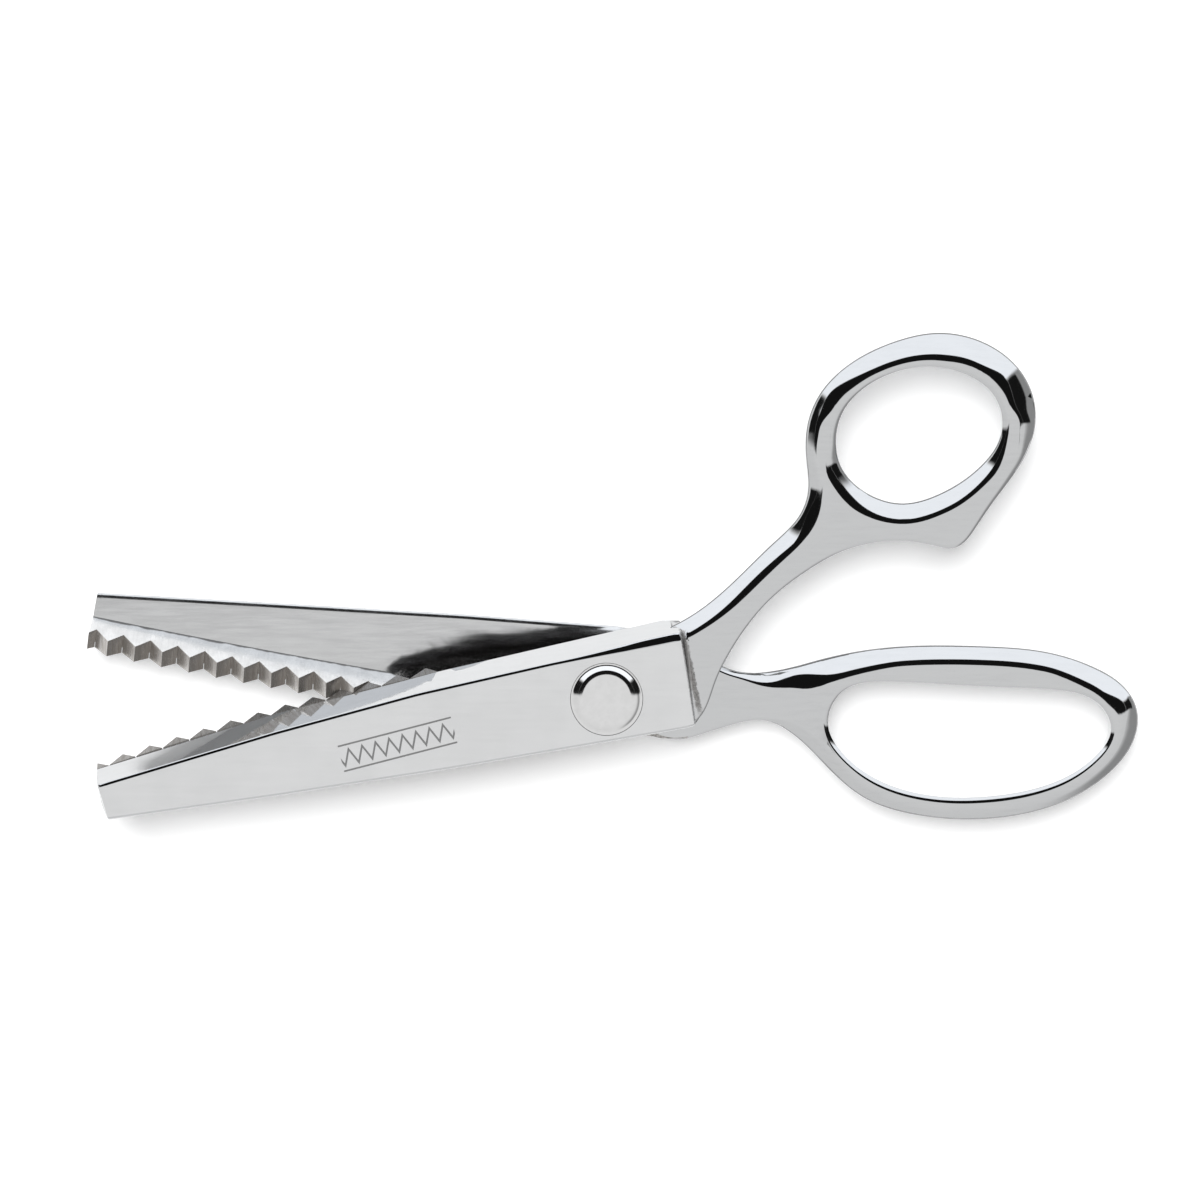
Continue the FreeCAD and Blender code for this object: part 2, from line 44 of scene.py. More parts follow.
# The halves. side is 1 above the shear plane and -1 below. towards is the sign of Y from spine to edge.
# slant scales runs across the blade. reach is the radius of the tip, and corner is cut from its corner.
# spine, flat_edge and edge are lines along the blade, as (x, y). shoulder is its other end, as (y, x).
FRONT = {
    "side": 1, "towards": 1, "slant": 1.04, "reach": 93.0, "corner": 1.0,
    "spine": [(-94.0, -22.3), (-60.0, -17.5), (-27.8, -12.5), (10.0, -6.0), (14.6, -5.2),
              (17.0, -4.4)],
    "flat_edge": [(-94.0, -16.6), (-60.0, -6.4), (-34.0, 0.65), (-10.0, 6.1), (17.0, 11.6)],
    "edge": [(-94.0, -13.35), (-60.0, -2.75), (-30.0, 5.0), (-10.0, 9.6), (10.0, 14.2), (13.1, 14.15),
             (17.0, 14.15)],
    "shoulder": [(-6.0, 15.4), (-4.0, 16.0), (-2.0, 16.5), (0.4, 16.2), (2.4, 15.6), (5.6, 14.8),
                 (9.2, 14.0), (11.6, 13.3), (14.0, 13.1)],
}
BACK = {
    "side": -1, "towards": -1, "slant": 1.02, "reach": 94.5, "corner": 0.0,
    "spine": [(-95.5, 19.35), (-60.0, 17.3), (-26.4, 15.3), (2.0, 13.1), (9.0, 12.0), (14.2, 9.5)],
    "flat_edge": [(-95.5, 13.3), (-60.0, 6.4), (-34.0, 1.9), (-10.0, -2.1), (17.0, -4.1)],
    "edge": [(-95.5, 9.85), (-60.0, 2.9), (-30.4, -2.3), (-15.0, -5.5), (-6.0, -7.5), (0.0, -7.62),
             (4.0, -7.0), (7.5, -6.6), (10.0, -7.2), (14.6, -7.2)],
    "shoulder": [(-7.2, 14.6), (-4.0, 15.6), (2.0, 15.6), (9.5, 14.2), (12.0, 9.0)],
}

# Handle outlines: x, y and the width of the rounded border at that point.
THUMB_OUTLINE = [
    (6.0, 2.5, 0.5), (8.0, -4.6, 0.5), (14.0, -5.3, 0.5), (17.2, -2.8, 0.5), (19.6, 3.0, 0.5),
    (22.0, 8.0, 0.5), (26.0, 14.0, 0.5), (30.0, 18.4, 0.5), (36.0, 23.0, 0.6), (42.0, 26.4, 0.6),
    (48.0, 28.1, 0.6), (55.2, 28.3, 0.6), (60.3, 27.3, 0.6), (62.4, 27.1, 0.6), (64.3, 28.1, 0.6),
    (66.4, 30.7, 0.7), (70.0, 35.9, 0.9), (74.7, 42.3, 1.5), (77.3, 48.5, 3.0), (77.1, 54.7, 5.0),
    (73.8, 60.5, 5.2), (68.1, 64.5, 5.3), (59.8, 66.2, 5.5), (52.2, 64.7, 5.3), (44.0, 60.7, 4.8),
    (38.1, 54.7, 4.0), (36.0, 49.0, 2.5), (35.9, 43.0, 2.0), (36.2, 37.6, 2.9), (34.6, 33.1, 3.7),
    (30.0, 28.2, 3.8), (22.0, 20.4, 3.7), (13.2, 13.9, 3.4), (8.0, 10.6, 1.0),
]
THUMB_HOLE = [
    (41.4, 46.1, 1.2), (42.8, 52.0, 1.2), (45.9, 55.6, 0.8), (50.0, 58.1, 0.7), (57.7, 59.8, 0.7),
    (64.0, 58.7, 0.8), (69.9, 54.4, 1.0), (71.1, 48.2, 1.4), (67.4, 42.1, 3.2), (60.0, 37.1, 3.8),
    (53.4, 35.4, 4.0), (47.3, 37.1, 4.1), (42.5, 41.75, 3.3),
]
FINGER_OUTLINE = [
    (6.0, 1.0, 0.5), (8.0, -6.0, 0.5), (13.2, -7.4, 0.5), (18.0, -6.2, 0.5), (22.6, -4.8, 0.5),
    (28.3, -3.95, 0.5), (34.1, -6.8, 2.4), (39.8, -12.4, 3.0), (46.7, -18.1, 3.0), (55.3, -21.0, 2.8),
    (64.5, -21.95, 2.8), (74.8, -21.1, 2.8), (84.2, -18.1, 2.9), (91.4, -13.2, 3.2), (95.7, -7.2, 3.6),
    (96.2, -2.2, 4.0), (94.0, 2.0, 4.6), (88.5, 5.7, 4.3), (79.9, 8.5, 3.8), (67.9, 9.6, 3.7),
    (54.1, 9.6, 3.8), (42.7, 8.1, 4.4), (36.0, 6.4, 4.8), (31.2, 5.2, 3.4), (23.7, 5.0, 1.3),
    (18.0, 7.4, 1.2), (8.0, 9.6, 1.0),
]
FINGER_HOLE = [
    (40.1, -4.0, 1.0), (42.7, 1.3, 0.6), (50.7, 3.1, 0.4), (59.9, 2.7, 0.4), (71.3, 2.1, 0.4),
    (82.0, 1.5, 0.5), (88.6, -0.7, 0.7), (91.1, -5.5, 0.8), (88.6, -10.1, 1.1), (80.0, -15.4, 1.3),
    (69.0, -17.6, 1.3), (59.9, -17.6, 1.3), (51.3, -15.6, 1.3), (44.4, -11.5, 1.2),
]

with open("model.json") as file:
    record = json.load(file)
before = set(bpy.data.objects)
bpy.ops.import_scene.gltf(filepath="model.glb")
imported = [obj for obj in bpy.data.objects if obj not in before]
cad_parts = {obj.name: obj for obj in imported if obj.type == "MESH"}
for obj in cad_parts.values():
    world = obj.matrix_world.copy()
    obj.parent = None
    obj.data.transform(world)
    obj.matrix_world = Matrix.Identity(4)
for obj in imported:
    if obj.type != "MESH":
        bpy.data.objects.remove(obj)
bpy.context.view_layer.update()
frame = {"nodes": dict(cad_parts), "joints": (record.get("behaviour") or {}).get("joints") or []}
PIVOT = next(joint for joint in frame["joints"] if joint["name"] == "pivot")["pos_m"]


# ---- mesh helpers ----

# Points nearer to each other than this are one, in millimetres.
WELD = 0.02
# Least rise of a line, which keeps a division from failing.
TINY = 1e-12


def smooth(value):
    """0 below 0, 1 above 1 and an even curve between."""
    t = np.clip(value, 0.0, 1.0)
    return t * t * (3.0 - 2.0 * t)


def along(table, x):
    """Value at x on the straight lines through (x, value) pairs."""
    xs, values = zip(*table)
    return np.interp(x, xs, values)


def slopes(points, spans):
    """Derivatives at the knots of the closed cubic spline through the points."""
    count = len(spans)
    matrix = np.zeros((count, count))
    right = np.zeros((count, points.shape[1]))
    for i in range(count):
        before, after = spans[i - 1], spans[i]
        back, ahead = points[i] - points[i - 1], points[(i + 1) % count] - points[i]
        matrix[i, i - 1] += after
        matrix[i, i] += 2.0 * (before + after)
        matrix[i, (i + 1) % count] += before
        right[i] = 3.0 * (after / before * back + before / after * ahead)
    return np.linalg.solve(matrix, right)


def closed_curve(table, step):
    """Points and border widths along the smooth closed curve through a table's points, about step apart."""
    points = np.array([row[:2] for row in table])
    widths = np.array([row[2] for row in table])
    spans = np.linalg.norm(np.roll(points, -1, axis=0) - points, axis=1)
    knots = np.concatenate([[0.0], np.cumsum(spans)])
    tangents = slopes(points, spans)
    where = np.linspace(0.0, knots[-1], int(knots[-1] / step), endpoint=False)
    first = np.clip(np.searchsorted(knots, where, side="right") - 1, 0, len(spans) - 1)
    following = (first + 1) % len(spans)
    span = spans[first][:, None]
    t = (where - knots[first])[:, None] / span
    curve = (2 * t ** 3 - 3 * t ** 2 + 1) * points[first] + (3 * t ** 2 - 2 * t ** 3) * points[following]
    curve += (t ** 3 - 2 * t ** 2 + t) * span * tangents[first]
    curve += (t ** 3 - t ** 2) * span * tangents[following]
    blend = smooth(t[:, 0])
    width = widths[first] * (1.0 - blend) + widths[following] * blend
    if signed_area(curve) < 0.0:
        return curve[::-1], width[::-1]
    return curve, width


def signed_area(loop):
    """Area inside a loop, negative where the loop runs clockwise."""
    following = np.roll(loop, -1, axis=0)
    return 0.5 * float(np.sum(loop[:, 0] * following[:, 1] - following[:, 0] * loop[:, 1]))


def normals_of(loop):
    """Outward normals of a counter-clockwise loop."""
    tangent = np.roll(loop, -1, axis=0) - np.roll(loop, 1, axis=0)
    tangent /= np.linalg.norm(tangent, axis=1)[:, None]
    return np.stack([tangent[:, 1], -tangent[:, 0]], axis=1)


def inside(points, loop):
    """Which points lie inside the loop."""
    x, y = points[:, 0][:, None], points[:, 1][:, None]
    x1, y1 = loop[:, 0][None], loop[:, 1][None]
    x2, y2 = np.roll(loop[:, 0], -1)[None], np.roll(loop[:, 1], -1)[None]
    rise = np.where(y2 == y1, TINY, y2 - y1)
    crossing = ((y1 > y) != (y2 > y)) & (x < (x2 - x1) * (y - y1) / rise + x1)
    return crossing.sum(axis=1) % 2 == 1


def new_mesh(name, verts, faces, indices=None):
    """A mesh object from points in millimetres about the pivot axis."""
    placed = np.array(verts, float) * MM + [PIVOT[0], PIVOT[1], 0.0]
    mesh = bpy.data.meshes.new(name)
    mesh.from_pydata(placed.tolist(), [], faces)
    if indices is not None:
        mesh.polygons.foreach_set("material_index", indices)
    obj = bpy.data.objects.new(name, mesh)
    bpy.context.scene.collection.objects.link(obj)
    bm = bmesh.new()
    bm.from_mesh(mesh)
    bmesh.ops.remove_doubles(bm, verts=bm.verts, dist=WELD * MM)
    bmesh.ops.triangulate(bm, faces=bm.faces)
    bmesh.ops.recalc_face_normals(bm, faces=bm.faces)
    bm.to_mesh(mesh)
    bm.free()
    return obj


# ---- handles ----

# Distance between the points of an outline.
OUTLINE_STEP = 0.8
# Shares of the border's width and their slopes, from the flat top down to the side.
BORDER_SLOPES = [(0.04, 3.0), (0.07, 7.5), (0.07, 12.5), (0.07, 17.5), (0.09, 23.0), (0.17, 28.0),
                 (0.23, 32.0), (0.16, 37.0)]
# The side bulges from the last slope to the mid-height, and on to the underside.
SIDE_SHARE = 0.10
UNDER_SHARE = 0.5
SIDE_ANGLES = [90, 74, 58, 42, 27, 13]
UNDER_ANGLES = [0, 20, 40, 58, 74]
# Slopes gentler than this take up the gentle share of the width, which is larger round the soft spots.
GENTLE_UP_TO = 20.0
GENTLE_SHARE = 0.25
# Soft spots: x, y, reach and the gentle share at the middle.
SOFT_SPOTS = [(39.0, 55.5, 6.0, 0.62), (73.5, 59.5, 3.5, 0.45), (35.0, 34.0, 3.5, 0.65),
              (25.0, 23.5, 9.0, 0.40), (34.5, 5.5, 4.5, 0.62), (95.0, 0.0, 3.5, 0.60),
              (44.5, 40.0, 5.0, 0.50), (69.0, 45.0, 5.0, 0.42), (68.0, -17.5, 22.0, 0.50)]
# Step between the points inside a plate, between their rows, and their least distance to the border.
GRID = 1.6
GRID_ROW = GRID * 0.87
GRID_CLEAR = GRID * 0.45
# Points nearer to each other than this are one when the triangles are made.
SAME_POINT = 1e-6
# Share of a bar that the borders on its two sides may fill.
FILL = 0.93
# The thumb handle: its top, the underside of its ring, and how far it takes to drop there.
THUMB_TOP = 11.0
THUMB_UNDER = 3.2
THUMB_DROP = 22.0
# The finger handle: the top of its bow, how far it takes to rise there, the underside of its shank, and
# where and over how far that comes down to the table.
FINGER_TOP = 7.8
FINGER_RISE = 20.0
FINGER_UNDER = 1.0
FINGER_FOOT = 33.0
FINGER_FOOT_RUN = 2.0


def gentle_part(loop):
    """Share of the border's width that slopes gently, at each point of a loop."""
    share = np.full(len(loop), GENTLE_SHARE)
    for x, y, reach, most in SOFT_SPOTS:
        away = np.hypot(loop[:, 0] - x, loop[:, 1] - y) / reach
        share = np.maximum(share, GENTLE_SHARE + (most - GENTLE_SHARE) * np.exp(-away ** 2))
    return share


def top_round(gentle):
    """Inset and drop, as shares of the border's width, from the side up to the flat top."""
    inset, drop = np.ones(len(gentle)), np.zeros(len(gentle))
    corners = [(inset, drop)]
    for share, degrees in BORDER_SLOPES:
        if degrees < GENTLE_UP_TO:
            stretched = share * gentle / GENTLE_SHARE
        else:
            stretched = share * (1.0 - SIDE_SHARE - gentle)
            stretched = stretched / (1.0 - SIDE_SHARE - GENTLE_SHARE)
        inset = inset - stretched
        drop = drop + stretched * math.tan(math.radians(degrees))
        corners.append((inset, drop))
    return corners[::-1]


def border(loop, widths, inward, levels):
    """Rows of points round a plate's border, from its underside, up the bulging side, to its top.

    inward is 1 for an outline and -1 for a hole.
    """
    across = inward * normals_of(loop)
    corners = top_round(gentle_part(loop))
    rows = []
    for degrees in UNDER_ANGLES:
        angle = math.radians(degrees)
        flat = loop - across * (widths * UNDER_SHARE * (1.0 - math.sin(angle)))[:, None]
        top, bottom = levels(flat)
        height = bottom + (top - bottom) / 2.0 * (1.0 - math.cos(angle))
        rows.append(np.column_stack([flat, height]))
    for degrees in SIDE_ANGLES:
        angle = math.radians(degrees)
        flat = loop - across * (widths * SIDE_SHARE * (1.0 - math.sin(angle)))[:, None]
        top, bottom = levels(flat)
        tall = (top - bottom) / 2.0 - widths * corners[0][1]
        rows.append(np.column_stack([flat, (top + bottom) / 2.0 + tall * math.cos(angle)]))
    for inset, drop in corners:
        flat = loop - across * (widths * inset)[:, None]
        rows.append(np.column_stack([flat, levels(flat)[0] - widths * drop]))
    return rows


def grid_inside(outer, hole):
    """Evenly spread points between two loops, clear of both."""
    low, high = outer.min(axis=0), outer.max(axis=0)
    grid = []
    for row, y in enumerate(np.arange(low[1], high[1], GRID_ROW)):
        for x in np.arange(low[0] + (row % 2) * GRID / 2.0, high[0], GRID):
            grid.append((x, y))
    grid = np.array(grid)
    grid = grid[inside(grid, outer) & ~inside(grid, hole)]
    both = np.vstack([outer, hole])
    near = np.min(np.linalg.norm(grid[:, None] - both[None], axis=2), axis=1)
    return grid[near > GRID_CLEAR]


def cap(outer, hole, start_outer, start_hole, first_new, level):
    """New points between two loops, and the triangles that fill the space.

    start_outer, start_hole and first_new are the indices of the first point of each loop and of the
    new points.
    """
    grid = grid_inside(outer, hole)
    points = np.vstack([outer, hole, grid])
    edges = [(i, (i + 1) % len(outer)) for i in range(len(outer))]
    edges += [(len(outer) + i, len(outer) + (i + 1) % len(hole)) for i in range(len(hole))]
    found = geometry.delaunay_2d_cdt([Vector(p) for p in points], edges, [], 0, SAME_POINT)
    number = [sources[0] for sources in found[3]]
    triangles = np.array([[number[i] for i in face] for face in found[2]])
    middles = points[triangles].mean(axis=1)
    triangles = triangles[inside(middles, outer) & ~inside(middles, hole)]
    shift = np.concatenate([start_outer + np.arange(len(outer)), start_hole + np.arange(len(hole)),
                            first_new + np.arange(len(grid))])
    return np.column_stack([grid, level(grid)]), shift[triangles].tolist()


def ring_faces(start, count, rows):
    """Faces between closed rows of count points each; start is the index of the first point."""
    faces = []
    for row in range(rows - 1):
        for i in range(count):
            a = start + row * count + i
            b = start + row * count + (i + 1) % count
            faces.append((a, b, b + count, a + count))
    return faces


def share_out(loop, widths, other, other_widths):
    """Widths cut back where this border and the one across the bar would meet."""
    gaps = np.linalg.norm(loop[:, None] - other[None], axis=2)
    nearest = gaps.argmin(axis=1)
    limit = FILL * gaps.min(axis=1) * widths / (widths + other_widths[nearest])
    cut = np.minimum(widths, limit)
    return (np.roll(cut, 1) + cut + np.roll(cut, -1)) / 3.0


def make_handle(name, outline, hole, levels):
    """A shank and its ring in one piece, with a rounded border of changing width."""
    outer, outer_wish = closed_curve(outline, OUTLINE_STEP)
    inner, inner_wish = closed_curve(hole, OUTLINE_STEP)
    outer_width = share_out(outer, outer_wish, inner, inner_wish)
    inner_width = share_out(inner, inner_wish, outer, outer_wish)
    outer_rows = border(outer, outer_width, 1.0, levels)
    hole_rows = border(inner, inner_width, -1.0, levels)
    verts = np.vstack(outer_rows + hole_rows)
    rows = len(outer_rows)
    hole_from = rows * len(outer)
    faces = ring_faces(0, len(outer), rows) + ring_faces(hole_from, len(inner), rows)
    for row, side in ((0, 1), (rows - 1, 0)):
        added, triangles = cap(outer_rows[row][:, :2], hole_rows[row][:, :2], row * len(outer),
                               hole_from + row * len(inner), len(verts),
                               lambda points, side=side: levels(points)[side])
        verts = np.vstack([verts, added])
        faces += triangles
    return new_mesh(name, verts, [tuple(f) for f in faces])


def thumb_levels(points):
    """Top and underside of the thumb handle, which drops below the shear plane clear of the pivot."""
    reach = np.linalg.norm(points, axis=1)
    dropped = smooth((reach - SHANK_CLEAR) / THUMB_DROP)
    bottom = SHEAR + HALF_GAP + (THUMB_UNDER - SHEAR - HALF_GAP) * dropped
    return np.full(len(points), THUMB_TOP), bottom


def finger_levels(points):
    """Top and underside of the finger handle, which rises above the shear plane clear of the pivot."""
    reach = np.linalg.norm(points, axis=1)
    low = SHEAR - HALF_GAP
    top = low + (FINGER_TOP - low) * smooth((reach - SHANK_CLEAR) / FINGER_RISE)
    lowered = smooth((points[:, 0] - FINGER_FOOT) / FINGER_FOOT_RUN)
    return top, FINGER_UNDER - lowered


# ---- blades ----

# Depths, from the shear plane, of a blade's outer flat, its hollow inner face and its edge.
BLADE_DEPTH = 6.0
WEB_DEPTH = 3.9
EDGE_DEPTH = 1.05
# How much thinner a blade is at its tip, and the share of that along x.
TIP_THINNING = 0.6
THINNING = [(-95.0, 1.0), (-60.0, 0.25), (-25.0, 0.0)]
# Runs across the toothed strip: to the valleys of its teeth, and to the lip and the foot of its seat.
VALLEY_RUN = 5.4
LIP_RUN = 4.5
FOOT_RUN = 2.2
# The x at which the seat of the strip ends and the boss begins.
SEAT_TO = -30.5
# Where the hollow inner face of the back blade begins to rise to the boss, and how steeply it does.
RAMP_FROM = [(-40.0, 5.0), (-37.7, 6.8), (-32.7, 8.1), (-30.0, 8.7), (-25.1, 10.0), (-20.0, 10.85),
             (-12.0, 11.3), (-8.0, 12.3), (2.0, 12.9), (9.0, 20.0)]
RAMP_SLOPE = 0.3
RAMP_RUN_IN = 2.0
# The front blade's ramp is the same one mirrored across a line tilted this much from the X axis.
MIRROR_TILT = math.radians(1.08)
# Least depth of the inner face within the boss and beyond it, and how far the change takes.
BOSS_DEPTH = 0.10
RAMP_DEPTH = 1.3
BOSS_FADE = 2.5
# Least height of the blade's edge in the boss.
BOSS_EDGE = 0.3
# Rounded outer edge of the spine: its radius, and the angles of its corners.
SPINE_ROUND = 0.45
SPINE_ANGLES = (22, 45, 67, 90)
# Size of the rounding between flat and bevel, how much it grows towards the pivot, and where.
LINE_SIZE = 0.62
LINE_GROWTH = 0.95
LINE_GROWS_FROM = -8.0
LINE_GROWS_OVER = 18.0
# Widths, as shares of that size, and slopes across the rounding, and how far it begins before the line.
BEVEL_ROUND = [(0.15, 3.0), (0.25, 8.0), (0.25, 12.5), (0.25, 17.0), (0.1, 27.0), (0.1, 42.0)]
BEVEL_BEFORE = 0.25
# Shares of the way across the hollow inner face, from its foot to the spine.
HOLLOW_SHARES = (0.12, 0.24, 0.36, 0.48, 0.6, 0.72, 0.84, 0.93)
# Distance from the spine and added depth across the rounded inner edge of the spine.
INNER_ROUND = [(0.95, 0.0), (0.8, 0.012), (0.55, 0.055), (0.38, 0.10), (0.25, 0.15), (0.12, 0.22),
               (0.0, 0.36)]
# Corners of a section where the outer flat starts and where the edge is. Faces that start past the edge's
# corner belong to the inner face.
FLAT_COLUMN = 5
EDGE_COLUMN = 13
# Rows near the tip, as share of the way, millimetres added and drop of the outer face; then the plain
# rows between, as first share, last share and count.
TIP_ROWS = [(0.0, 0.0, 0.45), (0.0, 0.1, 0.22), (0.0, 0.28, 0.07), (0.0, 0.55, 0.0)]
PLAIN_ROWS = (0.015, 0.985, 70)
# Rows over the shoulder of the front half and of the back half.
FRONT_ROWS = [(1.0, -0.25, 0.0), (1.0, -0.08, 0.04), (1.0, 0.05, 0.16), (1.0, 0.2, 0.45),
              (1.0, 0.4, 0.72), (1.0, 0.7, 0.9), (1.0, 1.05, 0.99), (1.0, 1.4, 1.06)]
BACK_ROWS = [(1.0, -0.2, 0.0), (1.0, 0.0, 0.12)]
# The tip's corner is cut away beyond this distance from the X axis, in full after this much more.
CORNER_FROM = 18.0
CORNER_RUN = 4.3
# Where the solver for a row line starts at the shoulder, and how often it repeats.
SHOULDER_X = 14.0
SOLVER_ROUNDS = 12
# The shoulder's rounding fades out at its two ends: y of each end and how far the fade takes.
ROUND_FROM = -5.0
ROUND_FROM_RUN = 3.5
ROUND_TO = 14.3
ROUND_TO_RUN = 1.5
# Finishes of a forging, in the order of its material slots.
FLAT, POLISHED, HOLLOW, HANDLE = 0, 1, 2, 3


def hollow_depth(half, x, y):
    """Shear plane to the inner face: hollow along the blade, rising by a ramp to the boss."""
    if half["side"] > 0:
        c, s = math.cos(2.0 * MIRROR_TILT), math.sin(2.0 * MIRROR_TILT)
        x, y = x * c + y * s, x * s - y * c
    past = max(0.0, along(RAMP_FROM, x) - y) if x > RAMP_FROM[0][0] else 0.0
    past *= smooth((x - RAMP_FROM[0][0]) / RAMP_RUN_IN)
    beyond = smooth((math.hypot(x, y) - BOSS_CLEAR) / BOSS_FADE)
    least = BOSS_DEPTH + (RAMP_DEPTH - BOSS_DEPTH) * beyond
    return max(WEB_DEPTH - RAMP_SLOPE * past, least)


def spine_corners(half, spine, outer):
    """Corners of the spine wall, from its inner end over its rounded outer edge to the flat."""
    points = [(spine, INNER_ROUND[-1][1], True), (spine, outer - SPINE_ROUND, False)]
    for degrees in SPINE_ANGLES:
        angle = math.radians(degrees)
        points.append((spine + half["towards"] * SPINE_ROUND * (1.0 - math.cos(angle)),
                       outer - SPINE_ROUND * (1.0 - math.sin(angle)), False))
    return points


def line_corners(half, x, flat_edge, outer):
    """Corners across the rounding between the flat and the bevel."""
    size = LINE_SIZE + LINE_GROWTH * smooth((x - LINE_GROWS_FROM) / LINE_GROWS_OVER)
    y, depth = flat_edge - half["towards"] * BEVEL_BEFORE * size, outer
    points = [(y, depth, False)]
    for share, degrees in BEVEL_ROUND:
        y += half["towards"] * share * size
        depth -= share * size * math.tan(math.radians(degrees))
        points.append((y, depth, False))
    return points


def edge_corners(half, x, edge, in_boss):
    """Corners from the edge to where the inner face begins: a wall in the boss, else the strip's seat."""
    if in_boss:
        floor = hollow_depth(half, x, edge)
        lower = max(EDGE_DEPTH, floor + BOSS_EDGE)
        return [(edge, lower, False), (edge, (lower + floor) / 2.0, False), (edge, floor, False)]
    foot = edge + half["towards"] * half["slant"] * (FOOT_RUN - VALLEY_RUN)
    lip = edge + half["towards"] * half["slant"] * (LIP_RUN - VALLEY_RUN)
    return [(edge, EDGE_DEPTH, False), (lip, EDGE_DEPTH, False), (foot, 0.0, True)]


def blade_section(half, x, drop, in_boss):
    """Corners round the blade at one x, from the inner end of the spine wall.

    Each is y, depth and whether that depth is counted from the hollow face rather than the shear plane.
    """
    spine, flat_edge, edge = (along(half[key], x) for key in ("spine", "flat_edge", "edge"))
    outer = BLADE_DEPTH - along(THINNING, x) * TIP_THINNING - drop
    points = spine_corners(half, spine, outer)
    points += line_corners(half, x, flat_edge, outer)
    points += edge_corners(half, x, edge, in_boss)
    foot = points[-1][0]
    near = spine + half["towards"] * INNER_ROUND[0][0]
    points += [(foot + (near - foot) * share, 0.0, True) for share in HOLLOW_SHARES]
    points += [(spine + half["towards"] * inset, extra, True) for inset, extra in INNER_ROUND[:-1]]
    return points


def blade_rows(half):
    """Row lines from tip to shoulder: share of the way, millimetres added, drop of the outer face."""
    past_tip = TIP_ROWS[-1][1]
    plain = [(share, past_tip * (1.0 - share), 0.0) for share in np.linspace(*PLAIN_ROWS)]
    return TIP_ROWS + plain + (FRONT_ROWS if half["side"] > 0 else BACK_ROWS)


def row_x(half, row, y):
    """The x of a row line at y, between the rounded tip and the shoulder."""
    share, extra = row[:2]
    corner = half["corner"] * np.clip((abs(y) - CORNER_FROM) / CORNER_RUN, 0.0, 1.0) ** 2
    tip = corner - math.sqrt(half["reach"] ** 2 - y * y)
    end = along(half["shoulder"], y)
    spread = 1.0
    if share == 1.0 and extra > 0.0:
        spread = float(smooth((y - ROUND_FROM) / ROUND_FROM_RUN) * smooth((ROUND_TO - y) / ROUND_TO_RUN))
    return tip * (1.0 - share) + end * share + extra * spread


def blade_point(half, row, column, in_boss):
    """Solves for the point of a column, whose y depends on x, on a row line, whose x depends on y."""
    share, drop = row[0], row[2]
    x = -half["reach"] * (1.0 - share) + SHOULDER_X * share
    for _ in range(SOLVER_ROUNDS):
        y, depth, hollow = blade_section(half, x, drop, in_boss)[column]
        x = row_x(half, row, y)
    if hollow:
        depth += hollow_depth(half, x, y)
    return x, y, SHEAR + half["side"] * depth


def column_finish(column):
    """Finish of the face that starts at a corner of the section."""
    if column == FLAT_COLUMN:
        return FLAT
    return HOLLOW if column > EDGE_COLUMN else POLISHED


def make_blade(name, half):
    """Blade and boss: a loft from the rounded tip to the shoulder."""
    rows = blade_rows(half)
    columns = len(blade_section(half, -half["reach"], 0.0, False))
    verts = []
    for row in rows:
        in_boss = blade_point(half, row, EDGE_COLUMN, False)[0] > SEAT_TO
        verts += [blade_point(half, row, column, in_boss) for column in range(columns)]
    faces = ring_faces(0, columns, len(rows))
    indices = [column_finish(column) for column in range(columns)] * (len(rows) - 1)
    last = (len(rows) - 1) * columns
    faces.append(tuple(range(columns)))
    faces.append(tuple(range(last, last + columns)))
    return new_mesh(name, verts, faces, indices + [POLISHED, POLISHED])


# ---- turned shapes and booleans ----

BORE_SEGMENTS = 128
BOLT_SEGMENTS = 160
# Edges sharper than this stay sharp, in degrees.
SHARP_FROM = 32.0
# Strength of the weighting of normals by the size of faces.
NORMAL_WEIGHT = 80
# Edges shorter than this are removed, in metres.
NO_LENGTH = 1e-6


def lathe(name, profile, segments):
    """A solid turned about the pivot axis from (radius, z) corners; it begins and ends on the axis."""
    verts = [(0.0, 0.0, profile[0][1])]
    for radius, z in profile[1:-1]:
        for i in range(segments):
            angle = 2.0 * math.pi * i / segments
            verts.append((radius * math.cos(angle), radius * math.sin(angle), z))
    verts.append((0.0, 0.0, profile[-1][1]))
    faces = ring_faces(1, segments, len(profile) - 2)
    last = len(verts) - 1
    for i in range(segments):
        following = (i + 1) % segments
        faces.append((0, 1 + following, 1 + i))
        faces.append((last, last - segments + i, last - segments + following))
    return new_mesh(name, verts, faces)


def combine(obj, tool, operation):
    """Applies a boolean to obj and removes the tool."""
    modifier = obj.modifiers.new(operation.lower(), "BOOLEAN")
    modifier.operation = operation
    modifier.solver = "EXACT"
    modifier.object = tool
    graph = bpy.context.evaluated_depsgraph_get()
    result = bpy.data.meshes.new_from_object(obj.evaluated_get(graph))
    obj.modifiers.clear()
    old = obj.data
    obj.data = result
    bpy.data.meshes.remove(old)
    bpy.data.objects.remove(tool)


def finish_surface(obj):
    """Smooth shading, with sharp edges kept sharp and flat faces kept flat."""
    bm = bmesh.new()
    bm.from_mesh(obj.data)
    bmesh.ops.dissolve_degenerate(bm, edges=bm.edges, dist=NO_LENGTH)
    for face in bm.faces:
        face.smooth = True
    limit = math.radians(SHARP_FROM)
    for edge in bm.edges:
        edge.smooth = len(edge.link_faces) == 2 and edge.calc_face_angle(0.0) < limit
    bm.to_mesh(obj.data)
    bm.free()
    weighted = obj.modifiers.new("weighted_normals", "WEIGHTED_NORMAL")
    weighted.keep_sharp = True
    weighted.weight = NORMAL_WEIGHT


